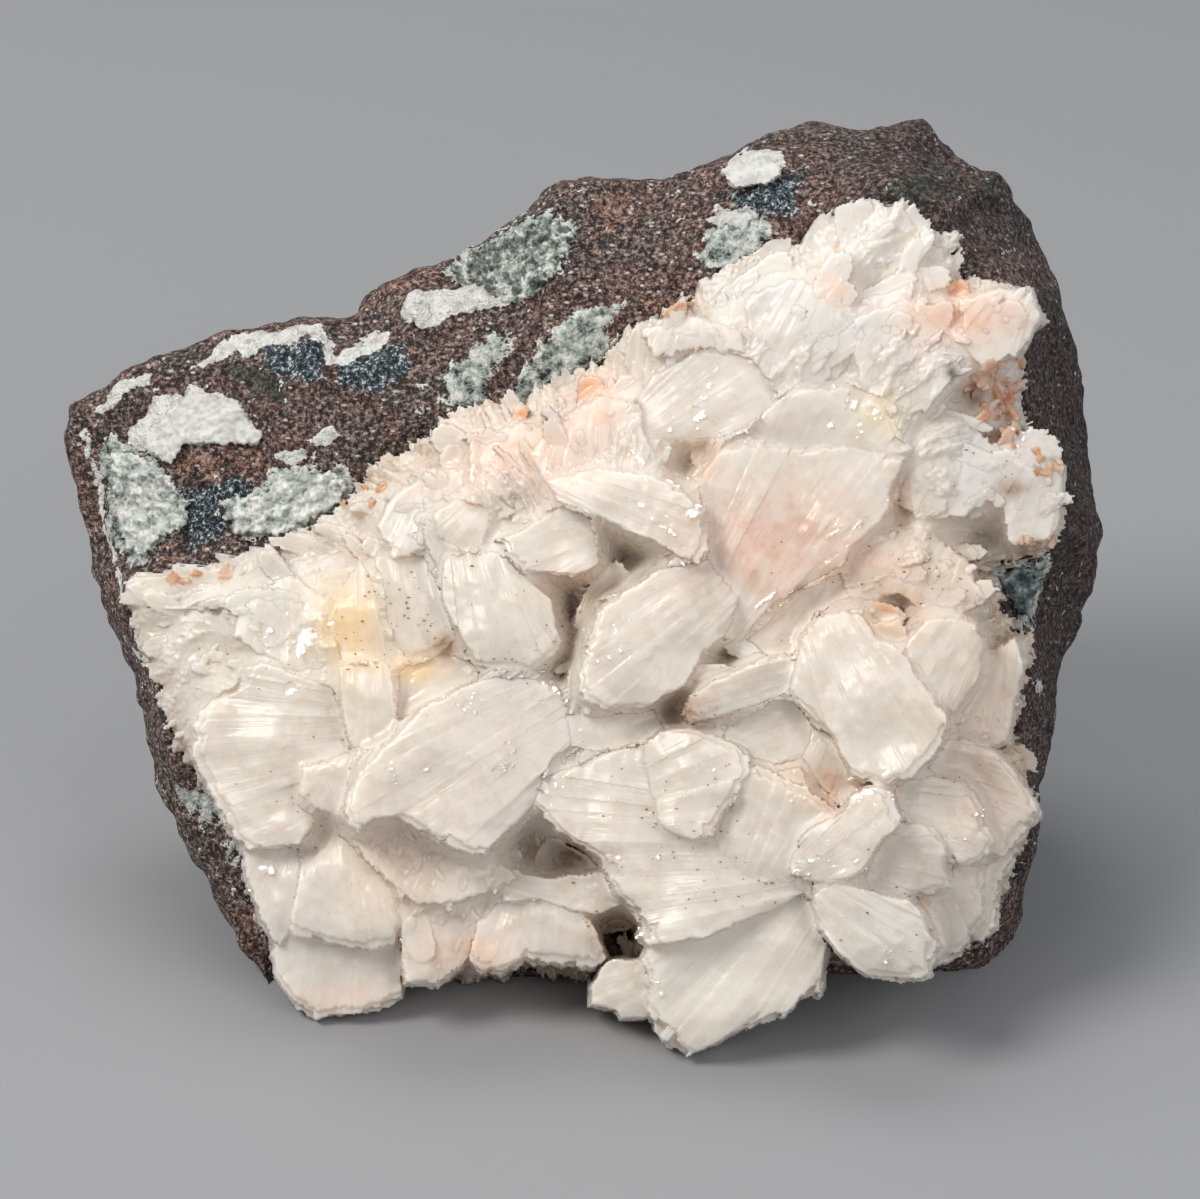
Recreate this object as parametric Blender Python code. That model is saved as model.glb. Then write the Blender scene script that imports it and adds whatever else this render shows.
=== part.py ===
"""Heulandite on basalt, standing on its flat underside.

Outlines are given in view pixels: one pixel is SCALE millimetres on the reference plane, which
faces an eye EYE millimetres away that looks down at the block by LEAN degrees. A depth is
counted in millimetres from the reference plane towards the eye.
"""
import math
import random

import bmesh
import bpy
from mathutils import Matrix, Vector, noise

# View frame, millimetres and degrees.
SCALE = 0.1
EYE = 500.0
LEAN = math.radians(25.0)
MID_X = 600.0
MID_Y = 600.0
EYE_HEIGHT = 38.25
MM = 0.001

# The basalt face that carries the crust: its depth at the middle and its slope upwards.
FACE_DEPTH = -4.6
FACE_SLOPE = 0.095
GAP = 0.3

# Basalt block.
BLOCK_SEGMENTS = 84
BACK_DEPTH = -46.0
HUB = (590.0, 610.0)
# Unevenness: height in millimetres, then the sizes of the coarse and the finer lumps in pixels.
ROUGHNESS = 0.9
ROUGH_COARSE = 55.0
ROUGH_FINER = 24.0
ROUGH_FINER_SHARE = 0.5
ROUGH_SEEDS = (3.1, 7.7)
# The unseen back is rougher than the front by this factor.
BACK_ROUGH = 2.4
# The visible band of basalt is at least this wide, in pixels.
BAND_LEAST = 8.0
# The unevenness fades out towards both rims of the band.
FADE_START = 5.0
FADE_END = 1.3

# Crust.
CRUST_SEGMENTS = 60
CRUST_EDGE = 1.1
CRUST_THICK = 4.2
CRUST_BUMP = 1.1
CRUST_LEAST = 0.6
CRUST_COARSE = 46.0
CRUST_FINER = 21.0
CRUST_FINER_SHARE = 0.8
CRUST_SEEDS = (1.3, 5.9)
# The rim of the underside, as a share of the outline.
UNDER_SHARE = 0.985

# Lengths in millimetres below which corners are merged, planes meet and slivers are removed.
MERGE = 0.01
PLANE_TOLERANCE = 0.002
SLIVER = 0.02
FLAT_ANGLE = math.radians(0.4)
# Angles in radians too small or too wide for the straight line between two outline points.
SPAN_LEAST = 1e-5
SPAN_MOST = 3.0

RIGHT = Vector((1.0, 0.0, 0.0))
UP = Vector((0.0, math.sin(LEAN), math.cos(LEAN)))
TOWARD = Vector((0.0, -math.cos(LEAN), math.sin(LEAN)))
BASE_POINT = Vector((0.0, 0.0, EYE_HEIGHT))


def at(px, py, depth):
    """Return the point in millimetres that lies on a view pixel at a depth."""
    near = 1.0 - depth / EYE
    across = (px - MID_X) * SCALE * near
    upward = (MID_Y - py) * SCALE * near
    return BASE_POINT + RIGHT * across + UP * upward + TOWARD * depth


def face_depth(py):
    """Depth of the basalt face under the crust at a pixel row."""
    return FACE_DEPTH + FACE_SLOPE * (MID_Y - py) * SCALE


def polar(points):
    """Turn an outline round the hub into sorted rows of angle, radius and depth."""
    rows = []
    for point in points:
        dx = point[0] - HUB[0]
        dy = HUB[1] - point[1]
        depth = point[2] if len(point) > 2 else 0.0
        rows.append((math.atan2(dy, dx), math.hypot(dx, dy), depth))
    rows.sort()
    return rows


def reach(rows, angle):
    """Radius and depth of a polar outline at an angle, the radius along its straight sides."""
    count = len(rows)
    for i in range(count):
        a0, r0, d0 = rows[i]
        a1, r1, d1 = rows[(i + 1) % count]
        if i == count - 1:
            a1 += 2.0 * math.pi
        turned = angle if angle >= a0 else angle + 2.0 * math.pi
        if a0 <= turned <= a1:
            span = a1 - a0
            if span < SPAN_LEAST:
                return r0, d0
            bottom = r0 * math.sin(turned - a0) + r1 * math.sin(a1 - turned)
            radius = r0 * r1 * math.sin(span) / bottom if span < SPAN_MOST else r0
            return radius, mix(d0, d1, (turned - a0) / span)
    return rows[0][1], rows[0][2]


def mix(a, b, part):
    return a + (b - a) * part


def lump(x, y, size, seed):
    """Smooth seeded noise in pixels, about -1 to 1."""
    return noise.noise(Vector((x / size + seed, y / size - seed, seed * 0.37)))


# Silhouette of the basalt: pixel and depth, clockwise from the upper left corner.
BASALT_EDGE = [
    (78, 400, -12), (130, 375, -12), (200, 345, -11), (245, 323, -11), (290, 320, -11),
    (340, 322, -11), (368, 317, -11), (372, 300, -12), (385, 288, -12), (410, 275, -12),
    (448, 262, -12), (470, 250, -11), (500, 235, -10), (530, 218, -10), (548, 195, -10),
    (560, 185, -10), (590, 175, -10), (660, 178, -10), (700, 170, -10), (740, 152, -11),
    (765, 148, -11), (785, 128, -12), (805, 122, -12), (830, 128, -12), (855, 132, -12),
    (909, 117, -13), (935, 131, -13), (945, 152, -13), (978, 165, -14), (998, 175, -14),
    (1004, 195, -14), (1030, 218, -15), (1038, 270, -15), (1054, 294, -16), (1069, 365, -16),
    (1079, 416, -17), (1083, 460, -17), (1100, 530, -18), (1100, 555, -18), (1090, 590, -18),
    (1075, 645, -18), (1060, 665, -18), (1058, 715, -18), (1050, 770, -18), (1038, 800, -18),
    (1035, 850, -17), (1025, 900, -16), (1012, 945, -15), (1000, 1020, -14), (850, 1050, -12),
    (650, 1060, -10), (450, 1060, -9), (330, 1050, -8), (285, 1020, -6), (268, 985, -6),
    (255, 960, -7), (235, 925, -8), (205, 862, -10), (180, 835, -11), (165, 795, -12),
    (150, 755, -13), (145, 720, -13), (125, 665, -14), (105, 615, -14), (90, 570, -14),
    (82, 530, -14), (72, 490, -14), (63, 450, -13), (63, 425, -13)]

# Where the crust ends on the basalt face.
CRUST_OUTLINE = [
    (140, 568), (175, 572), (230, 560), (290, 540), (350, 500), (380, 470), (430, 435),
    (455, 410), (480, 405), (530, 398), (545, 384), (575, 380), (600, 362), (625, 330),
    (680, 310), (700, 285), (760, 252), (797, 248), (810, 232), (830, 215), (855, 210),
    (880, 203), (905, 205), (920, 222), (940, 240), (955, 240), (963, 275), (1015, 287),
    (1030, 290), (1043, 318), (1025, 350), (1020, 400), (1020, 430), (1045, 440), (1060, 450),
    (1068, 480), (1060, 545), (1040, 556), (1000, 565), (985, 568), (998, 590), (1012, 628),
    (1033, 634), (1030, 672), (1020, 700), (1015, 740), (1025, 765), (1036, 800), (1036, 816),
    (1020, 860), (1000, 905), (985, 930), (955, 950), (880, 958), (800, 960), (700, 965),
    (598, 980), (583, 978), (550, 975), (525, 968), (505, 980), (455, 983), (445, 988),
    (410, 988), (395, 1000), (330, 1008), (290, 990), (270, 962), (262, 930), (252, 900),
    (243, 880), (235, 842), (222, 830), (218, 800), (200, 778), (180, 760), (160, 700),
    (140, 650), (130, 600)]

# Basalt band between the crust and the silhouette: part of the way out, part of the way back.
BAND_RINGS = [(0.0, 0.0), (0.12, 0.02), (0.34, 0.16), (0.58, 0.42), (0.8, 0.7), (0.94, 0.9),
              (1.0, 1.0)]
# Back of the block: share of the silhouette radius, part of the way to the back.
BACK_RINGS = [(1.0, 0.12), (0.985, 0.3), (0.95, 0.5), (0.88, 0.72), (0.7, 0.92), (0.35, 1.0)]
FRONT_RINGS = [0.45, 0.8]

# Broken faces of the back and the sides: azimuth and height of the outward normal in degrees,
# and how far the plane stands clear of the rim of the visible side in millimetres.
BREAKS = [(98, -20, 15.0), (72, 4, 8.5), (56, 30, 4.0), (124, 26, 3.0), (40, -10, 7.5),
          (144, -12, 7.0), (88, 52, 2.0), (16, -4, 1.2), (167, 3, 1.0), (116, -42, 13.0)]

# Ledges and hollows of the visible basalt: pixel, radius in pixels, height in millimetres.
BASALT_BUMPS = [
    (412, 292, 44, 2.2), (310, 352, 34, 0.9), (375, 366, 36, 0.8), (208, 460, 44, -1.3),
    (300, 420, 60, 0.7), (560, 260, 50, 0.9), (640, 215, 60, -0.8), (780, 200, 36, 0.8),
    (912, 192, 30, 1.5), (990, 185, 22, 1.3), (985, 250, 40, -1.2), (860, 165, 40, 0.9),
    (470, 300, 40, -0.6), (120, 500, 50, -0.5), (1060, 360, 40, 0.7), (1088, 470, 22, 0.9)]


def new_collection(name):
    group = bpy.data.collections.new(name)
    bpy.context.scene.collection.children.link(group)
    return group


def material(name, colour, rough):
    shade = bpy.data.materials.new(name)
    shade.use_nodes = True
    surface = shade.node_tree.nodes["Principled BSDF"]
    surface.inputs["Base Color"].default_value = (*colour, 1.0)
    surface.inputs["Roughness"].default_value = rough
    return shade


def add_object(name, mesh_data, group, shade):
    """Turn a bmesh into a named object. Lengths stay in millimetres until the end."""
    bmesh.ops.remove_doubles(mesh_data, verts=mesh_data.verts, dist=MERGE)
    bmesh.ops.triangulate(mesh_data, faces=mesh_data.faces)
    bmesh.ops.recalc_face_normals(mesh_data, faces=mesh_data.faces)
    mesh = bpy.data.meshes.new(name)
    mesh_data.to_mesh(mesh)
    mesh_data.free()
    mesh.materials.append(shade)
    made = bpy.data.objects.new(name, mesh)
    group.objects.link(made)
    return made


def ring_ball(segments, rings, place):
    """A ball primitive whose rings are moved to the places that a function gives."""
    ball = bmesh.new()
    bmesh.ops.create_uvsphere(ball, u_segments=segments, v_segments=len(rings) + 1, radius=1.0)
    step = math.pi / (len(rings) + 1)
    for vert in ball.verts:
        level = round(math.acos(max(-1.0, min(1.0, vert.co.z))) / step) - 1
        angle = math.atan2(vert.co.y, vert.co.x)
        vert.co = place(level, angle)
    return ball


def bump_height(px, py):
    height = 0.0
    for bx, by, size, rise in BASALT_BUMPS:
        away = math.hypot(px - bx, py - by) / size
        if away < 1.0:
            height += rise * (1.0 - away * away) ** 2
    return height


def block_mesh():
    edge = polar(BASALT_EDGE)
    crust = polar(CRUST_OUTLINE)
    rings = [("front", part, 0.0) for part in FRONT_RINGS]
    rings += [("band", out, back) for out, back in BAND_RINGS]
    rings += [("back", out, back) for out, back in BACK_RINGS]

    def place(level, angle):
        if level < 0:
            return at(HUB[0], HUB[1], face_depth(HUB[1]))
        if level >= len(rings):
            return at(HUB[0], HUB[1], BACK_DEPTH)
        kind, out, back = rings[level]
        far, far_depth = reach(edge, angle)
        near = min(reach(crust, angle)[0], far - BAND_LEAST)
        if kind == "front":
            radius = near * out
        elif kind == "band":
            radius = mix(near, far, out)
        else:
            radius = far * out
        px = HUB[0] + radius * math.cos(angle)
        py = HUB[1] - radius * math.sin(angle)
        coarse = lump(px, py, ROUGH_COARSE, ROUGH_SEEDS[0])
        finer = lump(px, py, ROUGH_FINER, ROUGH_SEEDS[1])
        rough = ROUGHNESS * (coarse + ROUGH_FINER_SHARE * finer)
        if kind == "front":
            depth = face_depth(py)
        elif kind == "band":
            start = face_depth(py)
            depth = mix(start, far_depth, back)
            if out > 0.0:
                fade = min(1.0, FADE_START * out * (FADE_END - out))
                depth += (rough + bump_height(px, py)) * fade
        else:
            depth = mix(far_depth, BACK_DEPTH, back) + BACK_ROUGH * rough * (1.0 - back)
        return at(px, py, depth)

    block = ring_ball(BLOCK_SEGMENTS, rings, place)
    rim = [at(px, py, depth) for px, py, depth in BASALT_EDGE]
    for azimuth, height, clear in BREAKS:
        turn = math.radians(azimuth)
        rise = math.radians(height)
        normal = Vector((math.cos(turn) * math.cos(rise), math.sin(turn) * math.cos(rise),
                         math.sin(rise)))
        cut_off(block, normal * (max(point.dot(normal) for point in rim) + clear), normal)
    cut_off(block, Vector((0.0, 0.0, 0.0)), Vector((0.0, 0.0, -1.0)))
    return block


def cut_off(mesh_data, point, normal):
    """Cut away what lies beyond a plane and close the cut with one face."""
    cut = bmesh.ops.bisect_plane(
        mesh_data, geom=mesh_data.verts[:] + mesh_data.edges[:] + mesh_data.faces[:],
        dist=PLANE_TOLERANCE, plane_co=point, plane_no=normal, clear_outer=True)
    rim = [item for item in cut["geom_cut"] if isinstance(item, bmesh.types.BMEdge)]
    if rim:
        bmesh.ops.holes_fill(mesh_data, edges=rim, sides=0)
    bmesh.ops.dissolve_degenerate(mesh_data, dist=SLIVER, edges=mesh_data.edges)


# Crust rings: share of the outline radius, share of the full thickness.
CRUST_RINGS = [(0.1, 1.0), (0.22, 1.0), (0.34, 1.0), (0.46, 1.0), (0.58, 1.0), (0.69, 0.97),
               (0.79, 0.9), (0.88, 0.75), (0.95, 0.5), (1.0, 0.0)]


def crust_mesh():
    outline = polar(CRUST_OUTLINE)
    rings = [("top", out, share) for out, share in CRUST_RINGS] + [("under", UNDER_SHARE, 0.0)]

    def place(level, angle):
        if level < 0:
            return at(HUB[0], HUB[1], face_depth(HUB[1]) + CRUST_THICK)
        if level >= len(rings):
            return at(HUB[0], HUB[1], face_depth(HUB[1]) + GAP)
        kind, out, share = rings[level]
        radius = reach(outline, angle)[0] * out
        px = HUB[0] + radius * math.cos(angle)
        py = HUB[1] - radius * math.sin(angle)
        if kind == "under":
            return at(px, py, face_depth(py) + GAP)
        thick = mix(CRUST_EDGE, CRUST_THICK, share)
        coarse = lump(px, py, CRUST_COARSE, CRUST_SEEDS[0])
        finer = lump(px, py, CRUST_FINER, CRUST_SEEDS[1])
        thick += share * CRUST_BUMP * (coarse + CRUST_FINER_SHARE * finer)
        return at(px, py, face_depth(py) + GAP + max(thick, CRUST_LEAST))

    return ring_ball(CRUST_SEGMENTS, rings, place)


# Crystals: depth at the middle of the outline, slope to the right, slope upwards, thickness,
# then the outline in pixels.
CRYSTALS = [
    # great lower fan, lower plate, then upper plate and the plates stacked on it
    (11.5, 0.1, 0.16, 6.0, [(649, 945), (642, 965), (651, 1016), (660, 1036), (675, 1051),
     (690, 1058), (712, 1047), (733, 1033), (758, 1023), (782, 1020), (799, 1000), (818, 1001),
     (826, 950), (820, 925), (812, 900), (740, 890), (670, 920)]),
    (13.2, 0.1, -0.1, 6.0, [(540, 782), (530, 802), (560, 836), (600, 860), (611, 883),
     (623, 903), (638, 922), (635, 933), (649, 946), (700, 938), (760, 915), (812, 893),
     (806, 850), (770, 800), (700, 750), (640, 745), (590, 755)]),
    (15.0, 0.08, -0.16, 4.0, [(642, 752), (660, 733), (680, 729), (700, 731), (720, 740),
     (748, 751), (749, 770), (740, 790), (718, 820), (714, 836), (690, 839), (660, 825)]),
    (14.6, 0.1, 0.05, 5.0, [(749, 762), (780, 775), (808, 790), (842, 813), (824, 850),
     (812, 893), (765, 905), (722, 872), (716, 836), (738, 795)]),
    # small blade under the left of the fan
    (6.5, 0.1, 0.15, 5.0, [(652, 958), (608, 962), (600, 970), (592, 990), (590, 1006),
     (612, 1010), (617, 1019), (640, 1019), (653, 1014)]),
    # front shell
    (17.0, -0.1, 0.1, 5.0, [(812, 897), (835, 882), (865, 890), (910, 901), (928, 920),
     (937, 945), (931, 973), (918, 980), (880, 979), (863, 972), (840, 952), (822, 932)]),
    (17.8, 0.12, -0.12, 5.0, [(842, 813), (850, 800), (865, 790), (880, 787), (890, 795),
     (902, 820), (895, 835), (880, 842), (865, 870), (850, 877), (820, 883), (791, 876),
     (792, 858), (806, 832)]),
    # double wing
    (16.0, 0.2, -0.08, 6.0, [(820, 618), (845, 612), (869, 620), (878, 640), (900, 652),
     (925, 690), (946, 715), (950, 730), (935, 753), (915, 776), (890, 785), (850, 775),
     (835, 735), (805, 712), (790, 693), (802, 640)]),
    (14.6, -0.3, -0.08, 6.0, [(900, 655), (925, 621), (950, 618), (975, 625), (983, 642),
     (978, 680), (960, 705), (948, 722), (925, 692)]),
    (11.5, 0.0, -0.05, 5.0, [(800, 762), (825, 793), (842, 812), (865, 792), (892, 786),
     (862, 768), (838, 736), (812, 728)]),
    (12.5, 0.0, -0.1, 3.0, [(758, 780), (780, 772), (800, 766), (808, 788), (808, 808),
     (780, 800)]),
    # lower right plates
    (14.5, -0.1, 0.1, 5.0, [(880, 842), (865, 875), (870, 893), (885, 897), (935, 894),
     (954, 887), (948, 865), (952, 850), (935, 830), (900, 822)]),
    (13.4, -0.15, -0.05, 5.0, [(895, 800), (900, 785), (930, 778), (965, 782), (983, 808),
     (994, 840), (985, 860), (970, 865), (954, 864), (942, 840), (902, 822)]),
    (9.0, -0.2, 0.0, 5.0, [(920, 768), (940, 745), (965, 740), (1003, 757), (1025, 788),
     (1037, 805), (1037, 817), (1015, 845), (1005, 855), (985, 862), (978, 830), (965, 795)]),
    (8.0, -0.2, 0.1, 5.0, [(954, 865), (985, 863), (984, 900), (983, 922), (963, 950),
     (937, 968), (932, 960), (936, 930), (915, 897)]),
    (3.2, -0.2, 0.1, 4.0, [(985, 865), (1000, 855), (1013, 846), (1018, 857), (1010, 874),
     (998, 888), (1000, 925), (985, 940), (966, 940), (975, 900)]),
    # great peach plate and the plates round its top
    (9.0, -0.05, -0.14, 5.0, [(697, 480), (713, 460), (728, 440), (750, 430), (800, 440),
     (860, 436), (915, 448), (897, 478), (899, 500), (880, 522), (853, 545), (841, 565),
     (800, 590), (780, 600), (745, 640), (715, 640), (700, 580), (704, 520)]),
    (7.6, 0.0, -0.1, 4.0, [(745, 432), (775, 400), (800, 385), (850, 384), (888, 400),
     (898, 425), (918, 450), (880, 460), (800, 458)]),
    (6.8, 0.05, -0.12, 4.0, [(640, 440), (690, 442), (728, 436), (770, 415), (782, 398),
     (760, 360), (705, 348), (655, 375), (632, 410)]),
    (11.8, 0.1, -0.22, 4.0, [(545, 480), (600, 468), (655, 478), (683, 496), (706, 508),
     (708, 548), (697, 567), (670, 552), (640, 535), (600, 520), (560, 505)]),
    (7.4, 0.05, -0.16, 4.0, [(560, 420), (600, 396), (640, 405), (645, 440), (668, 478),
     (610, 478), (545, 484), (528, 452)]),
    (9.6, 0.0, -0.3, 3.5, [(495, 540), (520, 532), (545, 515), (562, 507), (590, 518),
     (600, 565), (570, 577), (520, 571)]),
    # tongue plate and the plate under it
    (13.0, -0.05, -0.1, 5.0, [(620, 598), (598, 614), (590, 640), (578, 680), (583, 700),
     (600, 709), (645, 707), (685, 684), (700, 655), (722, 640), (740, 602), (705, 560),
     (655, 572)]),
    (10.0, 0.0, -0.1, 5.0, [(562, 712), (600, 716), (650, 710), (667, 729), (650, 744),
     (600, 752), (570, 748)]),
    # square clear crystal and the yellow one above it
    (10.0, 0.0, -0.06, 6.0, [(446, 560), (470, 553), (500, 553), (530, 582), (550, 600),
     (560, 640), (552, 660), (530, 672), (480, 668), (455, 625), (443, 600)]),
    (7.5, 0.1, -0.16, 4.0, [(432, 520), (440, 510), (455, 500), (480, 505), (492, 515),
     (480, 545), (465, 553), (440, 538)]),
    # big fan left of the middle
    (12.8, -0.08, -0.12, 6.0, [(362, 770), (420, 712), (440, 700), (465, 688), (480, 680),
     (530, 678), (560, 690), (572, 745), (548, 765), (530, 811), (482, 856), (454, 848),
     (426, 836), (398, 818), (380, 820), (363, 832), (350, 825), (343, 815), (350, 790)]),
    # slanted blade and egg plate right of the middle
    (14.0, -0.12, 0.12, 4.0, [(682, 714), (690, 694), (720, 678), (760, 661), (780, 657),
     (800, 661), (812, 670), (812, 690), (790, 696), (740, 711), (710, 722), (692, 724)]),
    (11.6, -0.05, 0.0, 4.0, [(720, 740), (728, 725), (745, 718), (770, 703), (795, 702),
     (812, 725), (820, 734), (800, 757), (780, 763), (750, 758)]),
    # upright blades left of the big fan
    (8.6, 0.1, -0.05, 5.0, [(337, 668), (345, 667), (385, 662), (392, 672), (397, 720),
     (396, 736), (372, 750), (352, 746), (345, 725)]),
    (8.0, 0.1, 0.0, 4.0, [(303, 768), (320, 765), (350, 752), (353, 765), (345, 790),
     (343, 810), (335, 816), (320, 812), (302, 795)]),
    # left block and corner crystal
    (5.2, 0.1, -0.05, 6.0, [(200, 710), (215, 700), (238, 683), (242, 668), (262, 663),
     (290, 675), (330, 688), (342, 715), (352, 740), (345, 765), (303, 768), (302, 800),
     (320, 815), (300, 845), (250, 850), (232, 835), (215, 800), (195, 760), (192, 730)]),
    (2.6, 0.05, 0.12, 6.0, [(272, 955), (280, 985), (300, 1010), (317, 1019), (360, 1014),
     (392, 1005), (401, 997), (400, 940), (395, 905), (330, 880), (300, 900)]),
    (6.0, 0.05, 0.0, 4.5, [(300, 870), (320, 850), (340, 835), (385, 880), (402, 925),
     (390, 951), (365, 950), (345, 948), (297, 938), (290, 930)]),
    (3.6, 0.12, 0.0, 5.0, [(240, 850), (262, 842), (300, 850), (298, 880), (290, 930),
     (280, 950), (268, 935), (250, 890)]),
    # lower middle plates
    (7.6, 0.0, -0.08, 5.0, [(345, 838), (362, 832), (400, 822), (460, 850), (500, 860),
     (520, 880), (470, 900), (420, 905), (395, 890)]),
    (6.0, -0.1, 0.1, 5.0, [(402, 925), (420, 902), (470, 898), (480, 925), (462, 965),
     (440, 984), (405, 984)]),
    (7.0, 0.1, 0.1, 5.0, [(470, 960), (478, 925), (500, 905), (545, 900), (590, 918),
     (606, 960), (590, 972), (555, 966), (525, 962), (505, 974), (480, 974)]),
    (8.2, 0.1, -0.1, 4.0, [(500, 862), (545, 878), (600, 870), (625, 905), (590, 918),
     (545, 902), (505, 904)]),
    (4.0, 0.0, 0.0, 4.0, [(545, 838), (560, 838), (600, 864), (610, 884), (590, 900),
     (545, 882), (535, 860)]),
    # left upper blades
    (4.2, 0.05, -0.14, 4.0, [(240, 600), (290, 575), (325, 600), (330, 655), (335, 680),
     (290, 668), (262, 655), (235, 640)]),
    (6.0, 0.15, -0.1, 4.0, [(338, 590), (362, 560), (376, 590), (388, 650), (384, 662),
     (340, 664), (330, 620)]),
    (6.6, 0.1, -0.1, 4.0, [(376, 560), (398, 545), (425, 560), (445, 602), (456, 640),
     (440, 655), (412, 664), (392, 640)]),
    (7.0, 0.0, -0.05, 5.0, [(398, 670), (440, 655), (480, 664), (478, 682), (440, 700),
     (418, 712), (398, 728)]),
    # upper slope blades
    (5.6, 0.0, -0.2, 3.5, [(470, 440), (520, 425), (555, 430), (560, 470), (540, 505),
     (500, 520), (470, 500)]),
    (5.4, 0.0, -0.16, 3.5, [(390, 500), (430, 470), (465, 470), (460, 500), (430, 520),
     (428, 548), (395, 560), (375, 530)]),
    (6.6, 0.0, -0.14, 3.5, [(655, 365), (640, 330), (690, 315), (740, 330), (745, 362),
     (705, 350)]),
    (6.8, 0.0, -0.14, 3.5, [(745, 300), (790, 280), (835, 290), (850, 330), (820, 372),
     (775, 392), (752, 358)]),
    (6.6, -0.05, -0.1, 3.5, [(850, 320), (905, 300), (950, 320), (960, 370), (925, 412),
     (898, 422), (860, 386)]),
    # right upper blades
    (5.4, -0.15, -0.05, 4.0, [(960, 300), (1000, 290), (1030, 292), (1040, 318), (1022, 352),
     (985, 372), (962, 345)]),
    (6.0, -0.1, 0.0, 4.0, [(905, 480), (925, 440), (960, 420), (1000, 450), (1005, 490),
     (960, 520), (915, 520)]),
    (5.0, -0.15, 0.0, 4.0, [(1000, 452), (1040, 446), (1064, 470), (1058, 520), (1050, 545),
     (1010, 545), (1000, 500)]),
    (7.0, -0.05, 0.05, 4.0, [(850, 560), (880, 528), (925, 530), (965, 560), (985, 600),
     (950, 616), (925, 614), (897, 594), (868, 620), (845, 608)]),
    (8.0, -0.1, -0.1, 4.0, [(745, 640), (800, 592), (840, 572), (850, 600), (815, 618),
     (800, 655), (770, 658)]),
    (6.0, -0.2, 0.0, 4.0, [(958, 712), (985, 655), (1015, 640), (1026, 665), (1014, 700),
     (1010, 742), (985, 750), (948, 738)])]

# Small plates between the big ones: how many, and the range of their sizes in pixels.
FILL_COUNT = 46
FILL_LONG = (26.0, 48.0)
FILL_WIDE = (0.4, 0.62)
FILL_RISE = (1.4, 2.8)
FILL_SIDES = 6
FILL_SEED = 11
# Share of the crust's area from its middle outwards in which they stand.
FILL_AREA = (0.05, 0.86)
FILL_SLOPE_X = (-0.35, 0.35)
FILL_SLOPE_Y = (-0.45, 0.15)
# None stand under the overhanging fan or below the lowest row.
FAN_LEFT = 560
FAN_RIGHT = 1010
FAN_TOP = 880
LOWEST_ROW = 930


# A plate is narrower where it grows out of the crust, this far above the basalt face.
ROOT_SHARE = 0.5
ROOT_DEPTH = 2.0


def plate_mesh(depth, slope_x, slope_y, thick, outline, narrow=ROOT_SHARE):
    """A flat plate: its outline on a sloping plane, drawn back and narrowed to its root."""
    plate = bmesh.new()
    cx = sum(p[0] for p in outline) / len(outline)
    cy = sum(p[1] for p in outline) / len(outline)
    front = []
    for px, py in outline:
        rise = slope_x * (px - cx) * SCALE + slope_y * (cy - py) * SCALE
        front.append(plate.verts.new(at(px, py, depth + rise)))
    face = plate.faces.new(front)
    grown = bmesh.ops.extrude_face_region(plate, geom=[face], use_keep_orig=True)
    back = [item for item in grown["geom"] if isinstance(item, bmesh.types.BMVert)]
    middle = sum((v.co for v in back), Vector()) / len(back)
    for vert in back:
        vert.co = middle + (vert.co - middle) * narrow - TOWARD * thick
    bmesh.ops.recalc_face_normals(plate, faces=plate.faces)
    return plate


def root_depth(outline):
    """Depth inside the crust behind an outline."""
    cy = sum(p[1] for p in outline) / len(outline)
    return face_depth(cy) + ROOT_DEPTH


def crystal_plates():
    plates = []
    for depth, slope_x, slope_y, thick, outline in CRYSTALS:
        deep = max(thick, depth - root_depth(outline))
        plates.append(plate_mesh(depth, slope_x, slope_y, deep, outline))
    return plates


def filling_plates():
    """Seeded small plates that stand out of the crust where it shows between the big ones."""
    chance = random.Random(FILL_SEED)
    crust = polar(CRUST_OUTLINE)
    plates = []
    while len(plates) < FILL_COUNT:
        angle = chance.uniform(-math.pi, math.pi)
        share = math.sqrt(chance.uniform(*FILL_AREA))
        radius = reach(crust, angle)[0] * share
        px = HUB[0] + radius * math.cos(angle)
        py = HUB[1] - radius * math.sin(angle)
        long_side = chance.uniform(*FILL_LONG)
        wide_side = long_side * chance.uniform(*FILL_WIDE)
        turn = chance.uniform(0.0, math.pi)
        rise = chance.uniform(*FILL_RISE)
        slope_x = chance.uniform(*FILL_SLOPE_X)
        slope_y = chance.uniform(*FILL_SLOPE_Y)
        outline = []
        for i in range(FILL_SIDES):
            a = 2.0 * math.pi * i / FILL_SIDES
            along = long_side * 0.5 * math.cos(a)
            beside = wide_side * 0.5 * math.sin(a)
            outline.append((px + along * math.cos(turn) - beside * math.sin(turn),
                            py + along * math.sin(turn) + beside * math.cos(turn)))
        if py > LOWEST_ROW or (FAN_LEFT < px < FAN_RIGHT and py > FAN_TOP):
            continue
        depth = face_depth(py) + GAP + CRUST_THICK + rise
        plates.append(plate_mesh(depth, slope_x, slope_y, CRUST_THICK, outline))
    return plates


# The druse ends this far above the floor, in millimetres.
FLOOR_CLEAR = 0.2

# Reach of the solids that the small minerals are cut from: front depth and thickness.
PATCH_FRONT = 4.0
PATCH_REACH = 15.5

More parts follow.
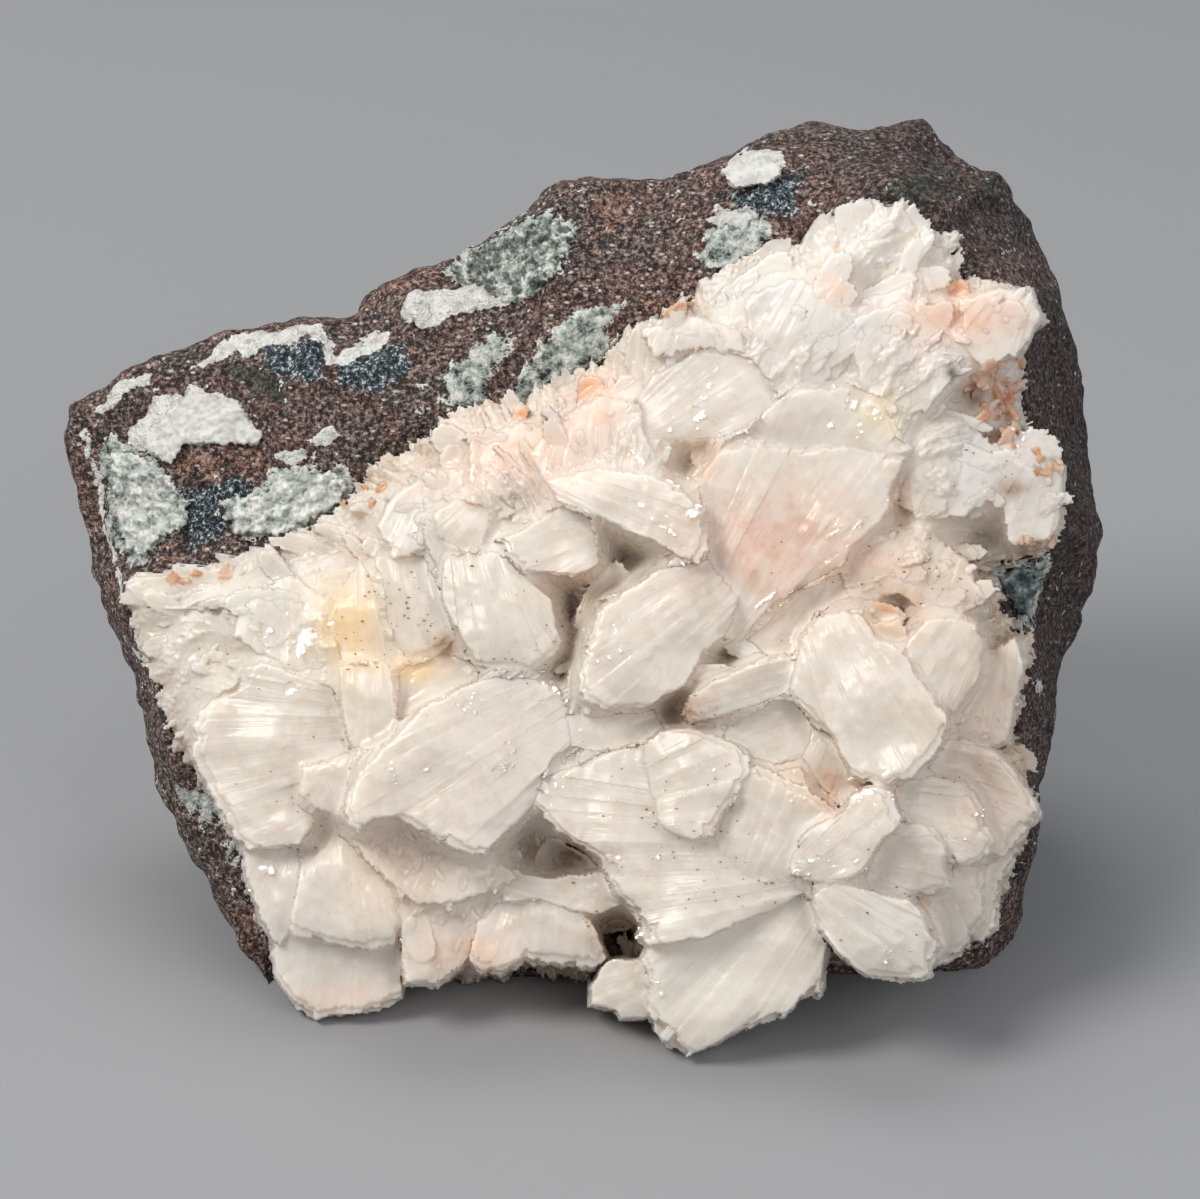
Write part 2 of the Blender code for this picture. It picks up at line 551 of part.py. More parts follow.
# Separate small minerals on the basalt: name, height above the basalt, outline in pixels.
PATCHES = [
    ("white_zeolite_patch", 1.3, [(135, 445), (135, 430), (150, 418), (162, 403), (195, 390),
     (230, 398), (238, 412), (257, 432), (252, 441), (175, 441), (162, 462), (148, 455)]),
    ("white_zeolite_knob", 1.8, [(724, 162), (740, 154), (765, 150), (785, 158), (784, 168),
     (768, 178), (736, 181)]),
    ("green_druse_left", 0.9, [(97, 448), (128, 452), (156, 470), (178, 500), (178, 524),
     (150, 534), (134, 556), (112, 540), (102, 500)]),
    ("green_druse_middle", 1.0, [(225, 508), (256, 487), (300, 468), (334, 476), (343, 490),
     (326, 510), (290, 526), (262, 536), (230, 530)]),
    ("green_druse_top", 1.1, [(444, 262), (480, 240), (520, 226), (552, 214), (575, 225),
     (560, 255), (540, 285), (505, 300), (478, 280)]),
    ("dark_druse_right", 0.9, [(1000, 572), (1046, 566), (1047, 590), (1034, 618),
     (1020, 608)])]


def grown(source, distance):
    """A copy of a mesh moved outwards along its normals, in millimetres."""
    bigger = source.copy()
    bigger.normal_update()
    for vert in bigger.verts:
        vert.co += vert.normal * distance
    return bigger


def combine(target, other, operation):
    """Apply one Boolean of the other object to the target and remove the other."""
    step = target.modifiers.new("combine", "BOOLEAN")
    step.object = other
    step.operation = operation
    step.solver = "EXACT"
    depsgraph = bpy.context.evaluated_depsgraph_get()
    result = bpy.data.meshes.new_from_object(target.evaluated_get(depsgraph))
    target.modifiers.clear()
    target.data = result


def keep_largest(target, floor=None):
    """Cut at the floor where asked and remove loose crumbs so that one closed body is left."""
    mesh_data = bmesh.new()
    mesh_data.from_mesh(target.data)
    if floor is not None:
        cut_off(mesh_data, Vector((0.0, 0.0, floor)), Vector((0.0, 0.0, -1.0)))
    left = set(mesh_data.verts)
    shells = []
    while left:
        stack = [left.pop()]
        shell = set(stack)
        while stack:
            vert = stack.pop()
            for edge in vert.link_edges:
                other = edge.other_vert(vert)
                if other in left:
                    left.remove(other)
                    shell.add(other)
                    stack.append(other)
        shells.append(shell)
    shells.sort(key=len)
    for shell in shells[:-1]:
        bmesh.ops.delete(mesh_data, geom=list(shell), context="VERTS")
    bmesh.ops.dissolve_degenerate(mesh_data, dist=SLIVER, edges=mesh_data.edges)
    bmesh.ops.dissolve_limit(mesh_data, angle_limit=FLAT_ANGLE, verts=mesh_data.verts,
                             edges=mesh_data.edges)
    bmesh.ops.triangulate(mesh_data, faces=mesh_data.faces)
    mesh_data.to_mesh(target.data)
    mesh_data.free()


def scratch_object(name, mesh_data, group):
    made = add_object(name, mesh_data, group, CUTTER_LOOK)
    made.hide_render = True
    made.display_type = "WIRE"
    return made


for old in list(bpy.data.objects):
    bpy.data.objects.remove(old, do_unlink=True)

PARTS = new_collection("heulandite_on_basalt")
CUTTERS = new_collection("cutters")
BASALT_LOOK = material("basalt", (0.075, 0.045, 0.038), 0.9)
HEULANDITE_LOOK = material("heulandite", (0.80, 0.69, 0.60), 0.3)
WHITE_LOOK = material("white_zeolite", (0.78, 0.77, 0.72), 0.6)
GREEN_LOOK = material("green_druse", (0.40, 0.47, 0.43), 0.5)
DARK_LOOK = material("dark_druse", (0.06, 0.09, 0.08), 0.5)
CUTTER_LOOK = material("cutter", (0.5, 0.5, 0.5), 0.5)
PATCH_LOOKS = {"white": WHITE_LOOK, "green": GREEN_LOOK, "dark": DARK_LOOK}

block_shape = block_mesh()
gap_shape = grown(block_shape, GAP)
tall_shapes = [(name, grown(block_shape, height)) for name, height, outline in PATCHES]
basalt = add_object("basalt_matrix", block_shape, PARTS, BASALT_LOOK)
keep_largest(basalt)

druse = add_object("heulandite_druse", crust_mesh(), PARTS, HEULANDITE_LOOK)
for index, plate in enumerate(crystal_plates() + filling_plates()):
    blade = scratch_object("plate", plate, CUTTERS)
    combine(druse, blade, "UNION")
    bpy.data.objects.remove(blade, do_unlink=True)
keep_largest(druse, FLOOR_CLEAR)

gap_body = scratch_object("gap_body", gap_shape, CUTTERS)
for (name, height, outline), (_, tall) in zip(PATCHES, tall_shapes):
    prism = plate_mesh(PATCH_FRONT, 0.0, 0.0, PATCH_REACH, outline, narrow=1.0)
    patch = add_object(name, prism, PARTS, PATCH_LOOKS[name.split("_")[0]])
    tall_body = scratch_object("tall_body", tall, CUTTERS)
    combine(patch, tall_body, "INTERSECT")
    combine(patch, gap_body, "DIFFERENCE")
    bpy.data.objects.remove(tall_body, do_unlink=True)
    keep_largest(patch)
bpy.data.objects.remove(gap_body, do_unlink=True)

# Centre the whole over the origin and turn millimetres into metres.
low = Vector((1e9, 1e9, 1e9))
high = -low
for part in PARTS.objects:
    for vert in part.data.vertices:
        for axis in range(3):
            low[axis] = min(low[axis], vert.co[axis])
            high[axis] = max(high[axis], vert.co[axis])
shift = Vector((-(low.x + high.x) / 2, -(low.y + high.y) / 2, -low.z))
for part in PARTS.objects:
    part.data.transform(Matrix.Scale(MM, 4) @ Matrix.Translation(shift))
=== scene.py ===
"""Heulandite on basalt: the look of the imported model, with its camera, floor and soft lights."""
import math
import random

import bmesh
import bpy
import numpy as np
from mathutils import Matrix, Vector, noise


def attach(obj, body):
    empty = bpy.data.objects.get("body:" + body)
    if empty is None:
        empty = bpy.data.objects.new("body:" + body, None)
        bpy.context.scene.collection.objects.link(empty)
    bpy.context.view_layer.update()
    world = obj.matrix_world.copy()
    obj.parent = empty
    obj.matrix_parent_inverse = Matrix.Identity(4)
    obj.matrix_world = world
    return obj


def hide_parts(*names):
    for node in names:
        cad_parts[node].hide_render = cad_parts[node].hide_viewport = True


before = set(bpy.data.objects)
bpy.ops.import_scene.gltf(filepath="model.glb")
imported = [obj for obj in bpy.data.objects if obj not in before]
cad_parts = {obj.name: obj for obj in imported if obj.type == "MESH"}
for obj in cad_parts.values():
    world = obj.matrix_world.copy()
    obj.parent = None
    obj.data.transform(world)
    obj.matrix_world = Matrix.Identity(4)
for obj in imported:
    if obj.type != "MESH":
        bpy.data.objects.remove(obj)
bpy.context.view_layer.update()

# The basalt block: fine grained dark brown rock, broken on all sides, with a flat underside.
# White, green and blue black crusts lie on its upper slope and turn brown to rust at their rims.
# Its shape is the solid's, made finer and rougher.
# Outlines are drawn in the pixels of one view: how far the eye leans down, its distance in metres,
# the size of a pixel in the plane through VIEW_POINT, and the pixel in the middle of the picture.
MM = 0.001
LEAN = math.radians(25.0)
EYE = 0.5
PIXEL_MM = 0.1
PIXEL = PIXEL_MM * MM
MIDDLE = 600.0
RIGHT = Vector((1.0, 0.0, 0.0))
UP = Vector((0.0, math.sin(LEAN), math.cos(LEAN)))
TOWARD = Vector((0.0, -math.cos(LEAN), math.sin(LEAN)))
VIEW_POINT = Vector((0.0016786, -0.0097601, 0.03825))


def seen(points):
    """View pixels and depths in millimetres of an array of points."""
    rel = points - np.array(VIEW_POINT)
    depth = rel @ np.array(TOWARD)
    near = 1.0 - depth / EYE
    px = MIDDLE + rel[:, 0] / (PIXEL * near)
    py = MIDDLE - (rel @ np.array(UP)) / (PIXEL * near)
    return px, py, depth / MM


def inside(px, py, outline):
    """Signed distance in pixels to an outline, positive inside."""
    best = np.full(len(px), 1e9)
    odd = np.zeros(len(px), bool)
    for i, (ax, ay) in enumerate(outline):
        bx, by = outline[(i + 1) % len(outline)]
        ex, ey = bx - ax, by - ay
        along = np.clip(((px - ax) * ex + (py - ay) * ey) / (ex * ex + ey * ey), 0.0, 1.0)
        best = np.minimum(best, np.hypot(px - ax - along * ex, py - ay - along * ey))
        crosses = (ay > py) != (by > py)
        level = np.where(by == ay, 1e-9, by - ay)
        odd ^= crosses & (px < (bx - ax) * (py - ay) / level + ax)
    return np.where(odd, best, -best)


def rising(values, start, width):
    """0 up to a start, then up to 1 over a width."""
    return np.clip((values - start) / width, 0.0, 1.0)


def rough_at(points, size, seed):
    """Smooth noise of a size in millimetres at an array of points."""
    scale = 1.0 / (size * MM)
    offset = Vector((seed, seed * 1.7, -seed))
    return np.array([noise.noise(Vector(p) * scale + offset) for p in points])


def points_of(mesh):
    flat = np.empty(len(mesh.vertices) * 3)
    mesh.vertices.foreach_get("co", flat)
    return flat.reshape(-1, 3)


def normals_of(mesh):
    flat = np.empty(len(mesh.vertices) * 3)
    mesh.vertices.foreach_get("normal", flat)
    return flat.reshape(-1, 3)


def move_to(mesh, points):
    mesh.vertices.foreach_set("co", points.ravel())
    mesh.update()


def paint(mesh, name, values):
    """Store one colour per vertex, an array of rows of red, green and blue."""
    layer = mesh.color_attributes.new(name, "FLOAT_COLOR", "POINT")
    rows = np.ones((len(values), 4))
    rows[:, :3] = values
    layer.data.foreach_set("color", rows.ravel())


def finer(node, voxel):
    """A copy of a solid's mesh, merged and remeshed to a voxel size in metres."""
    bm = bmesh.new()
    bm.from_mesh(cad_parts[node].data)
    bmesh.ops.remove_doubles(bm, verts=bm.verts, dist=0.000002)
    mesh = bpy.data.meshes.new(node + "_fine")
    bm.to_mesh(mesh)
    bm.free()
    piece = bpy.data.objects.new(node + "_fine", mesh)
    bpy.context.scene.collection.objects.link(piece)
    step = piece.modifiers.new("remesh", "REMESH")
    step.mode = "VOXEL"
    step.voxel_size = voxel
    step.use_smooth_shade = True
    depsgraph = bpy.context.evaluated_depsgraph_get()
    fine = bpy.data.meshes.new_from_object(piece.evaluated_get(depsgraph))
    piece.modifiers.clear()
    piece.data = fine
    return piece


def finish(name, rough):
    """A new node material: its tree's nodes, links and main shader."""
    made = bpy.data.materials.new(name)
    made.use_nodes = True
    nodes = made.node_tree.nodes
    shader = nodes["Principled BSDF"]
    shader.inputs["Roughness"].default_value = rough
    return made, nodes, made.node_tree.links, shader


def grain(nodes, links, source, size, detail=4.0, rough=0.6):
    """Noise of a size in millimetres on a vector socket."""
    node = nodes.new("ShaderNodeTexNoise")
    node.inputs["Scale"].default_value = 1.0 / (size * MM)
    node.inputs["Detail"].default_value = detail
    node.inputs["Roughness"].default_value = rough
    links.new(source, node.inputs["Vector"])
    return node.outputs["Fac"]


def ramp(nodes, links, source, stops):
    """A colour ramp with stops of place and colour or grey."""
    node = nodes.new("ShaderNodeValToRGB")
    links.new(source, node.inputs["Fac"])
    bar = node.color_ramp
    while len(bar.elements) < len(stops):
        bar.elements.new(0.5)
    for element, (place, colour) in zip(bar.elements, stops):
        element.position = place
        element.color = (*colour, 1.0) if isinstance(colour, tuple) else (colour,) * 3 + (1.0,)
    return node.outputs["Color"]


def maths(nodes, links, kind, a, b):
    """One sum on two sockets or numbers."""
    node = nodes.new("ShaderNodeMath")
    node.operation = kind
    for socket, value in zip(node.inputs, (a, b)):
        if isinstance(value, (int, float)):
            socket.default_value = value
        else:
            links.new(value, socket)
    return node.outputs["Value"]


def mix(nodes, links, share, a, b):
    """Colour a turned to colour b by a share."""
    node = nodes.new("ShaderNodeMix")
    node.data_type = "RGBA"
    for index, value in ((0, share), (6, a), (7, b)):
        if isinstance(value, (int, float)):
            node.inputs[index].default_value = value
        elif isinstance(value, tuple):
            node.inputs[index].default_value = (*value, 1.0)
        else:
            links.new(value, node.inputs[index])
    return node.outputs[2]


def attribute(nodes, name):
    node = nodes.new("ShaderNodeVertexColor")
    node.layer_name = name
    return node.outputs["Color"]


def raise_surface(nodes, links, shader, height, distance):
    """Bump a surface by a height socket, over a distance in millimetres."""
    node = nodes.new("ShaderNodeBump")
    node.inputs["Distance"].default_value = distance * MM
    links.new(height, node.inputs["Height"])
    links.new(node.outputs["Normal"], shader.inputs["Normal"])


BLOCK_VOXEL = 0.00056
# Roughness of the broken faces: size and height in millimetres, noise seed.
BLOCK_ROUGH = [(11.0, 1.0, 1.0), (5.0, 0.5, 5.0), (2.3, 0.6, 9.0)]
# How the rims of the coatings wander: size and distance in pixels, noise seed.
WARP = [(46.0, 12.0, 3.0), (15.0, 6.0, 17.0)]
# The coatings end at this depth in millimetres. Behind it the block is plain.
FRONT_LIMIT = -15.0
# Heights in millimetres of the fine crystals and the white skins.
CRYSTAL_RISE = 0.9
WHITE_RISE = 0.28
# The underside stays flat up to this level, and the roughness sets in above it.
FOOT_LEVEL = 0.0004
FOOT_FADE = 0.0012

# Coatings on the block by kind, each an outline in view pixels.
WHITE_COATS = [
    [(95, 415), (104, 402), (122, 390), (145, 381), (162, 378), (152, 391), (128, 397),
     (108, 418)],
    [(177, 374), (200, 362), (220, 345), (240, 336), (260, 334), (284, 332), (325, 328),
     (336, 345), (336, 360), (351, 350), (365, 338), (385, 332), (375, 350), (350, 368),
     (333, 370), (322, 348), (305, 343), (268, 350), (255, 362), (230, 356), (205, 366),
     (185, 373)],
    [(135, 445), (133, 430), (148, 420), (160, 402), (178, 398), (190, 391), (205, 393),
     (236, 405), (238, 415), (258, 432), (248, 441), (220, 444), (175, 441), (165, 462),
     (148, 455)],
    [(280, 458), (290, 451), (305, 450), (315, 455), (300, 462), (283, 464)],
    [(307, 444), (322, 434), (334, 427), (341, 436), (330, 444)],
    [(724, 160), (745, 152), (765, 150), (787, 158), (782, 170), (764, 180), (735, 181)],
    [(402, 325), (412, 305), (440, 292), (470, 286), (510, 286), (513, 300), (480, 306),
     (455, 320), (425, 330)],
    [(80, 425), (88, 425), (92, 460), (98, 500), (106, 540), (128, 590), (126, 600),
     (102, 545), (90, 500), (84, 460)],
    [(700, 218), (722, 208), (735, 220), (752, 224), (740, 236), (720, 232)],
    [(1034, 678), (1039, 684), (1039, 700), (1034, 696)],
    [(135, 600), (146, 640), (150, 672), (140, 664), (130, 630)]]
GREEN_COATS = [
    [(97, 446), (110, 440), (135, 445), (160, 465), (180, 500), (178, 528), (160, 538),
     (140, 575), (125, 560), (108, 540), (100, 500)],
    [(222, 505), (255, 485), (300, 466), (335, 472), (348, 490), (340, 515), (310, 545),
     (270, 548), (225, 535)],
    [(440, 270), (470, 245), (500, 238), (550, 213), (580, 225), (560, 262), (545, 290),
     (505, 300), (470, 285)],
    [(444, 405), (450, 370), (470, 345), (500, 334), (508, 350), (490, 380), (485, 404)],
    [(498, 398), (520, 370), (545, 345), (580, 318), (625, 295), (612, 330), (600, 362),
     (560, 384), (530, 398)],
    [(698, 240), (715, 206), (745, 215), (775, 222), (778, 240), (760, 256), (725, 274),
     (700, 270)],
    [(984, 566), (1046, 560), (1048, 590), (1034, 625), (1012, 610)],
    [(180, 775), (205, 790), (218, 815), (222, 832), (205, 826), (188, 800)],
    [(226, 842), (240, 850), (243, 872), (232, 868)]]
BLUE_COATS = [
    [(262, 356), (275, 347), (300, 343), (322, 346), (328, 360), (326, 378), (310, 383),
     (268, 372)],
    [(335, 382), (352, 358), (385, 345), (412, 347), (418, 362), (395, 388), (350, 393)],
    [(148, 480), (168, 476), (182, 500), (178, 525), (152, 528)],
    [(735, 200), (760, 182), (800, 178), (795, 205), (770, 222), (740, 216)],
    [(180, 490), (240, 478), (262, 485), (225, 505), (222, 535), (195, 545), (180, 525)]]
RUST_COATS = [
    [(166, 455), (180, 443), (240, 444), (262, 455), (275, 472), (240, 480), (200, 487),
     (178, 478)],
    [(585, 185), (620, 182), (640, 230), (600, 245), (585, 220)],
    [(145, 556), (160, 540), (185, 545), (190, 572), (165, 576)],
    [(330, 470), (380, 468), (378, 486), (345, 492)],
    [(622, 300), (650, 294), (690, 296), (682, 314), (632, 326)],
    [(370, 285), (410, 272), (445, 264), (450, 275), (420, 290), (385, 308)],
    [(64, 455), (76, 455), (98, 540), (88, 548)]]
OLIVE_COATS = [
    [(884, 205), (893, 178), (925, 168), (944, 178), (940, 205), (915, 218)],
    [(976, 200), (982, 176), (1000, 172), (1004, 195)],
    [(225, 375), (262, 372), (300, 384), (290, 398), (240, 396)],
    [(404, 440), (440, 420), (452, 408), (440, 436), (410, 446)],
    [(1040, 292), (1056, 296), (1052, 318), (1042, 312)],
    [(350, 470), (378, 445), (392, 450), (372, 472)]]

block = finer("basalt_matrix", BLOCK_VOXEL)
block.name = "basalt_block"
places = points_of(block.data)
outward = normals_of(block.data)
px, py, depth = seen(places)
for size, amount, seed in WARP:
    px = px + amount * rough_at(places, size * PIXEL_MM, seed)
    py = py + amount * rough_at(places, size * PIXEL_MM, seed + 40.0)
front = rising(depth, FRONT_LIMIT, 2.0)


def coat(outlines, soft=7.0):
    """How far into the nearest of some outlines each point lies, 0.5 at the rim."""
    total = np.zeros(len(px))
    for outline in outlines:
        total = np.maximum(total, np.clip(0.5 + inside(px, py, outline) / (2 * soft), 0, 1))
    return total * front


white, green, blue = coat(WHITE_COATS), coat(GREEN_COATS), coat(BLUE_COATS)
rust, olive = coat(RUST_COATS, 18.0), coat(OLIVE_COATS, 12.0)
paint(block.data, "coats", np.stack([white, green, blue], 1))
# Painted shade: the rock is made darker down its right side and at its top right corner.
right_side = rising(px, 985.0, 70.0) * rising(py, 250.0, 60.0)
top_corner = 0.7 * rising(px, 830.0, 60.0) * rising(py, 300.0, -60.0)
shade = np.maximum(right_side, top_corner)
paint(block.data, "stains_and_shade", np.stack([rust, olive, shade], 1))
rise = np.zeros(len(places))
for size, height, seed in BLOCK_ROUGH:
    rise += height * rough_at(places, size, seed)
crystals_here = np.clip(green + blue + 0.6 * olive, 0.0, 1.0)
rise += crystals_here * CRYSTAL_RISE * np.abs(rough_at(places, 1.0, 21.0))
rise += rising(white, 0.45, 0.5) * WHITE_RISE
rise *= rising(places[:, 2], FOOT_LEVEL, FOOT_FADE)
places += outward * (rise * MM)[:, None]
places[:, 2] = np.maximum(places[:, 2], 0.0)
move_to(block.data, places)

# Cells to a metre of the pale flecks of feldspar.
FLECK_SCALE = 1150.0
rock, nodes, links, shader = finish("basalt_rock", 0.85)
coords = nodes.new("ShaderNodeTexCoord").outputs["Object"]
fine_grain = grain(nodes, links, coords, 0.5, 3.0, 0.8)
wide_grain = grain(nodes, links, coords, 6.0, 2.0, 0.6)
crumb = grain(nodes, links, coords, 1.3, 3.0, 0.7)
brown = ramp(nodes, links, fine_grain, [
    (0.38, (0.010, 0.006, 0.005)), (0.46, (0.075, 0.038, 0.032)), (0.53, (0.215, 0.118, 0.095)),
    (0.63, (0.44, 0.32, 0.27))])
dark = ramp(nodes, links, fine_grain, [
    (0.38, (0.006, 0.005, 0.004)), (0.5, (0.055, 0.038, 0.032)), (0.62, (0.36, 0.30, 0.26))])
body = mix(nodes, links, ramp(nodes, links, wide_grain, [(0.4, 0.0), (0.62, 0.85)]), brown, dark)
# Painted shade: the low spots of the bump, the pits, are darkened to near black.
pit_shade = ramp(nodes, links, crumb, [(0.36, 0.75), (0.44, 0.0)])
body = mix(nodes, links, pit_shade, body, (0.016, 0.010, 0.009))
fleck = nodes.new("ShaderNodeTexVoronoi")
fleck.inputs["Scale"].default_value = FLECK_SCALE
stretched = nodes.new("ShaderNodeMapping")
stretched.inputs["Scale"].default_value = (1.0, 1.0, 2.2)
stretched.inputs["Rotation"].default_value = (0.4, 0.7, 0.3)
links.new(coords, stretched.inputs["Vector"])
links.new(stretched.outputs["Vector"], fleck.inputs["Vector"])
chosen = nodes.new("ShaderNodeSeparateColor")
links.new(fleck.outputs["Color"], chosen.inputs["Color"])
flecks = maths(nodes, links, "MULTIPLY",
               ramp(nodes, links, fleck.outputs["Distance"], [(0.22, 1.0), (0.38, 0.0)]),
               ramp(nodes, links, chosen.outputs["Red"], [(0.68, 0.0), (0.74, 0.9)]))
body = mix(nodes, links, flecks, body,
           ramp(nodes, links, chosen.outputs["Green"], [(0.2, (0.50, 0.30, 0.22)),
                                                        (0.8, (0.70, 0.66, 0.58))]))
coats = nodes.new("ShaderNodeSeparateColor")
links.new(attribute(nodes, "coats"), coats.inputs["Color"])
stains_and_shade = nodes.new("ShaderNodeSeparateColor")
links.new(attribute(nodes, "stains_and_shade"), stains_and_shade.inputs["Color"])
ragged = maths(nodes, links, "ADD",
               maths(nodes, links, "MULTIPLY",
                     maths(nodes, links, "SUBTRACT", crumb, 0.5), 1.9),
               maths(nodes, links, "MULTIPLY",
                     maths(nodes, links, "SUBTRACT", fine_grain, 0.5), 0.8))


def cover(share, low, high, ground, colour, rough_edge):
    """Lay one coating over the ground with a ragged rim."""
    edge = ramp(nodes, links,
                maths(nodes, links, "ADD", share,
                      maths(nodes, links, "MULTIPLY", ragged, rough_edge)),
                [(low, 0.0), (high, 1.0)])
    return mix(nodes, links, edge, ground, colour)


rust_tone = ramp(nodes, links, fine_grain, [
    (0.36, (0.05, 0.022, 0.017)), (0.5, (0.22, 0.105, 0.075)), (0.62, (0.60, 0.41, 0.31))])
olive_tone = ramp(nodes, links, fine_grain, [
    (0.38, (0.010, 0.010, 0.008)), (0.52, (0.05, 0.053, 0.038)), (0.68, (0.22, 0.21, 0.15))])
green_tone = ramp(nodes, links, crumb, [
    (0.34, (0.03, 0.04, 0.03)), (0.44, (0.28, 0.33, 0.29)), (0.53, (0.56, 0.60, 0.54)),
    (0.62, (0.86, 0.86, 0.80))])
blue_tone = ramp(nodes, links, fine_grain, [
    (0.40, (0.005, 0.007, 0.010)), (0.50, (0.035, 0.052, 0.066)), (0.56, (0.15, 0.20, 0.22)),
    (0.62, (0.72, 0.75, 0.72))])
white_tone = ramp(nodes, links, crumb, [
    (0.34, (0.50, 0.48, 0.42)), (0.46, (0.76, 0.74, 0.68)), (0.58, (0.90, 0.88, 0.82))])
# Painted shade: the right side and the top right corner are darkened here.
body = mix(nodes, links, maths(nodes, links, "MULTIPLY", stains_and_shade.outputs["Blue"], 0.62), body,
           (0.012, 0.009, 0.008))
body = cover(stains_and_shade.outputs["Red"], 0.62, 0.95, body, rust_tone, 1.7)
body = cover(stains_and_shade.outputs["Green"], 0.50, 0.76, body, olive_tone, 1.5)
body = cover(coats.outputs["Blue"], 0.42, 0.56, body, blue_tone, 1.3)
body = cover(coats.outputs["Green"], 0.50, 0.60, body, green_tone, 1.5)
body = cover(coats.outputs["Red"], 0.46, 0.52, body, white_tone, 0.45)
links.new(body, shader.inputs["Base Color"])
relief = maths(nodes, links, "ADD", fine_grain, maths(nodes, links, "MULTIPLY", crumb, 2.0))
raise_surface(nodes, links, shader, relief, 0.75)
links.new(ramp(nodes, links, fine_grain, [(0.4, 0.95), (0.65, 0.5)]), shader.inputs["Roughness"])
block.data.materials.clear()
block.data.materials.append(rock)
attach(block, "root")
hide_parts("basalt_matrix")

# The small minerals on the block: raised white zeolite and sparkling green or dark druses.
# Each is a thin crust of its own that grew on the basalt.
# Solid, name of the piece that replaces it, and look.
SMALL = [("white_zeolite_patch", "zeolite_patch_white", "white_zeolite"),
         ("white_zeolite_knob", "zeolite_knob_white", "white_zeolite"),
         ("green_druse_left", "druse_green_left", "green_druse"),
         ("green_druse_middle", "druse_green_middle", "green_druse"),
         ("green_druse_top", "druse_green_top", "speckled_druse"),
         ("dark_druse_right", "druse_dark_right", "dark_druse")]
SMALL_VOXEL = 0.00022
SMALL_TONES = {
    "white_zeolite": [(0.30, (0.44, 0.43, 0.39)), (0.46, (0.60, 0.59, 0.55)),
                      (0.62, (0.72, 0.70, 0.66))],
    "green_druse": [(0.31, (0.06, 0.07, 0.06)), (0.41, (0.38, 0.42, 0.37)),
                    (0.51, (0.58, 0.60, 0.55)), (0.62, (0.85, 0.84, 0.79))],
    "speckled_druse": [(0.34, (0.02, 0.024, 0.02)), (0.47, (0.14, 0.165, 0.14)),
                       (0.55, (0.45, 0.48, 0.43)), (0.64, (0.80, 0.80, 0.74))],
    "dark_druse": [(0.36, (0.015, 0.022, 0.024)), (0.48, (0.08, 0.11, 0.11)),
                   (0.60, (0.25, 0.30, 0.29)), (0.70, (0.6, 0.6, 0.55))]}
# Roughness in millimetres.
SMALL_ROUGH = {"white_zeolite": 0.35, "green_druse": 0.6, "speckled_druse": 0.7,
               "dark_druse": 0.5}

small_looks = {}
for look, tones in SMALL_TONES.items():
    made, nodes, links, shader = finish(look + "_crust", 0.45)
    coords = nodes.new("ShaderNodeTexCoord").outputs["Object"]
    spots = grain(nodes, links, coords, 1.8 if look == "white_zeolite" else 1.3, 4.0, 0.7)
    links.new(ramp(nodes, links, spots, tones), shader.inputs["Base Color"])
    shader.inputs["Subsurface Weight"].default_value = 0.3
    shader.inputs["Subsurface Scale"].default_value = 0.0004
    raise_surface(nodes, links, shader, grain(nodes, links, coords, 0.6, 5.0, 0.7), 0.25)
    small_looks[look] = made
for node, name, look in SMALL:
    piece = finer(node, SMALL_VOXEL)
    piece.name = name
    places = points_of(piece.data)
    outward = normals_of(piece.data)
    rise = SMALL_ROUGH[look] * (rough_at(places, 0.9, 2.0) + rough_at(places, 0.4, 6.0)) - 0.05
    move_to(piece.data, places + outward * (rise * MM)[:, None])
    piece.data.materials.clear()
    piece.data.materials.append(small_looks[look])
    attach(piece, "root")
    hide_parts(node)

# The heulandite: one druse of tabular crystals, grown together and on to the basalt. Big fans
# and tablets of thin blades stand out of a white to peach crust of small blades that thins to a
# ragged rim. Their free ends are stepped and toothed, their faces pearly and translucent.
# The basalt face under it: depth in millimetres at the middle pixel and its slope upwards.
FACE_DEPTH = -4.6
FACE_SLOPE = 0.095
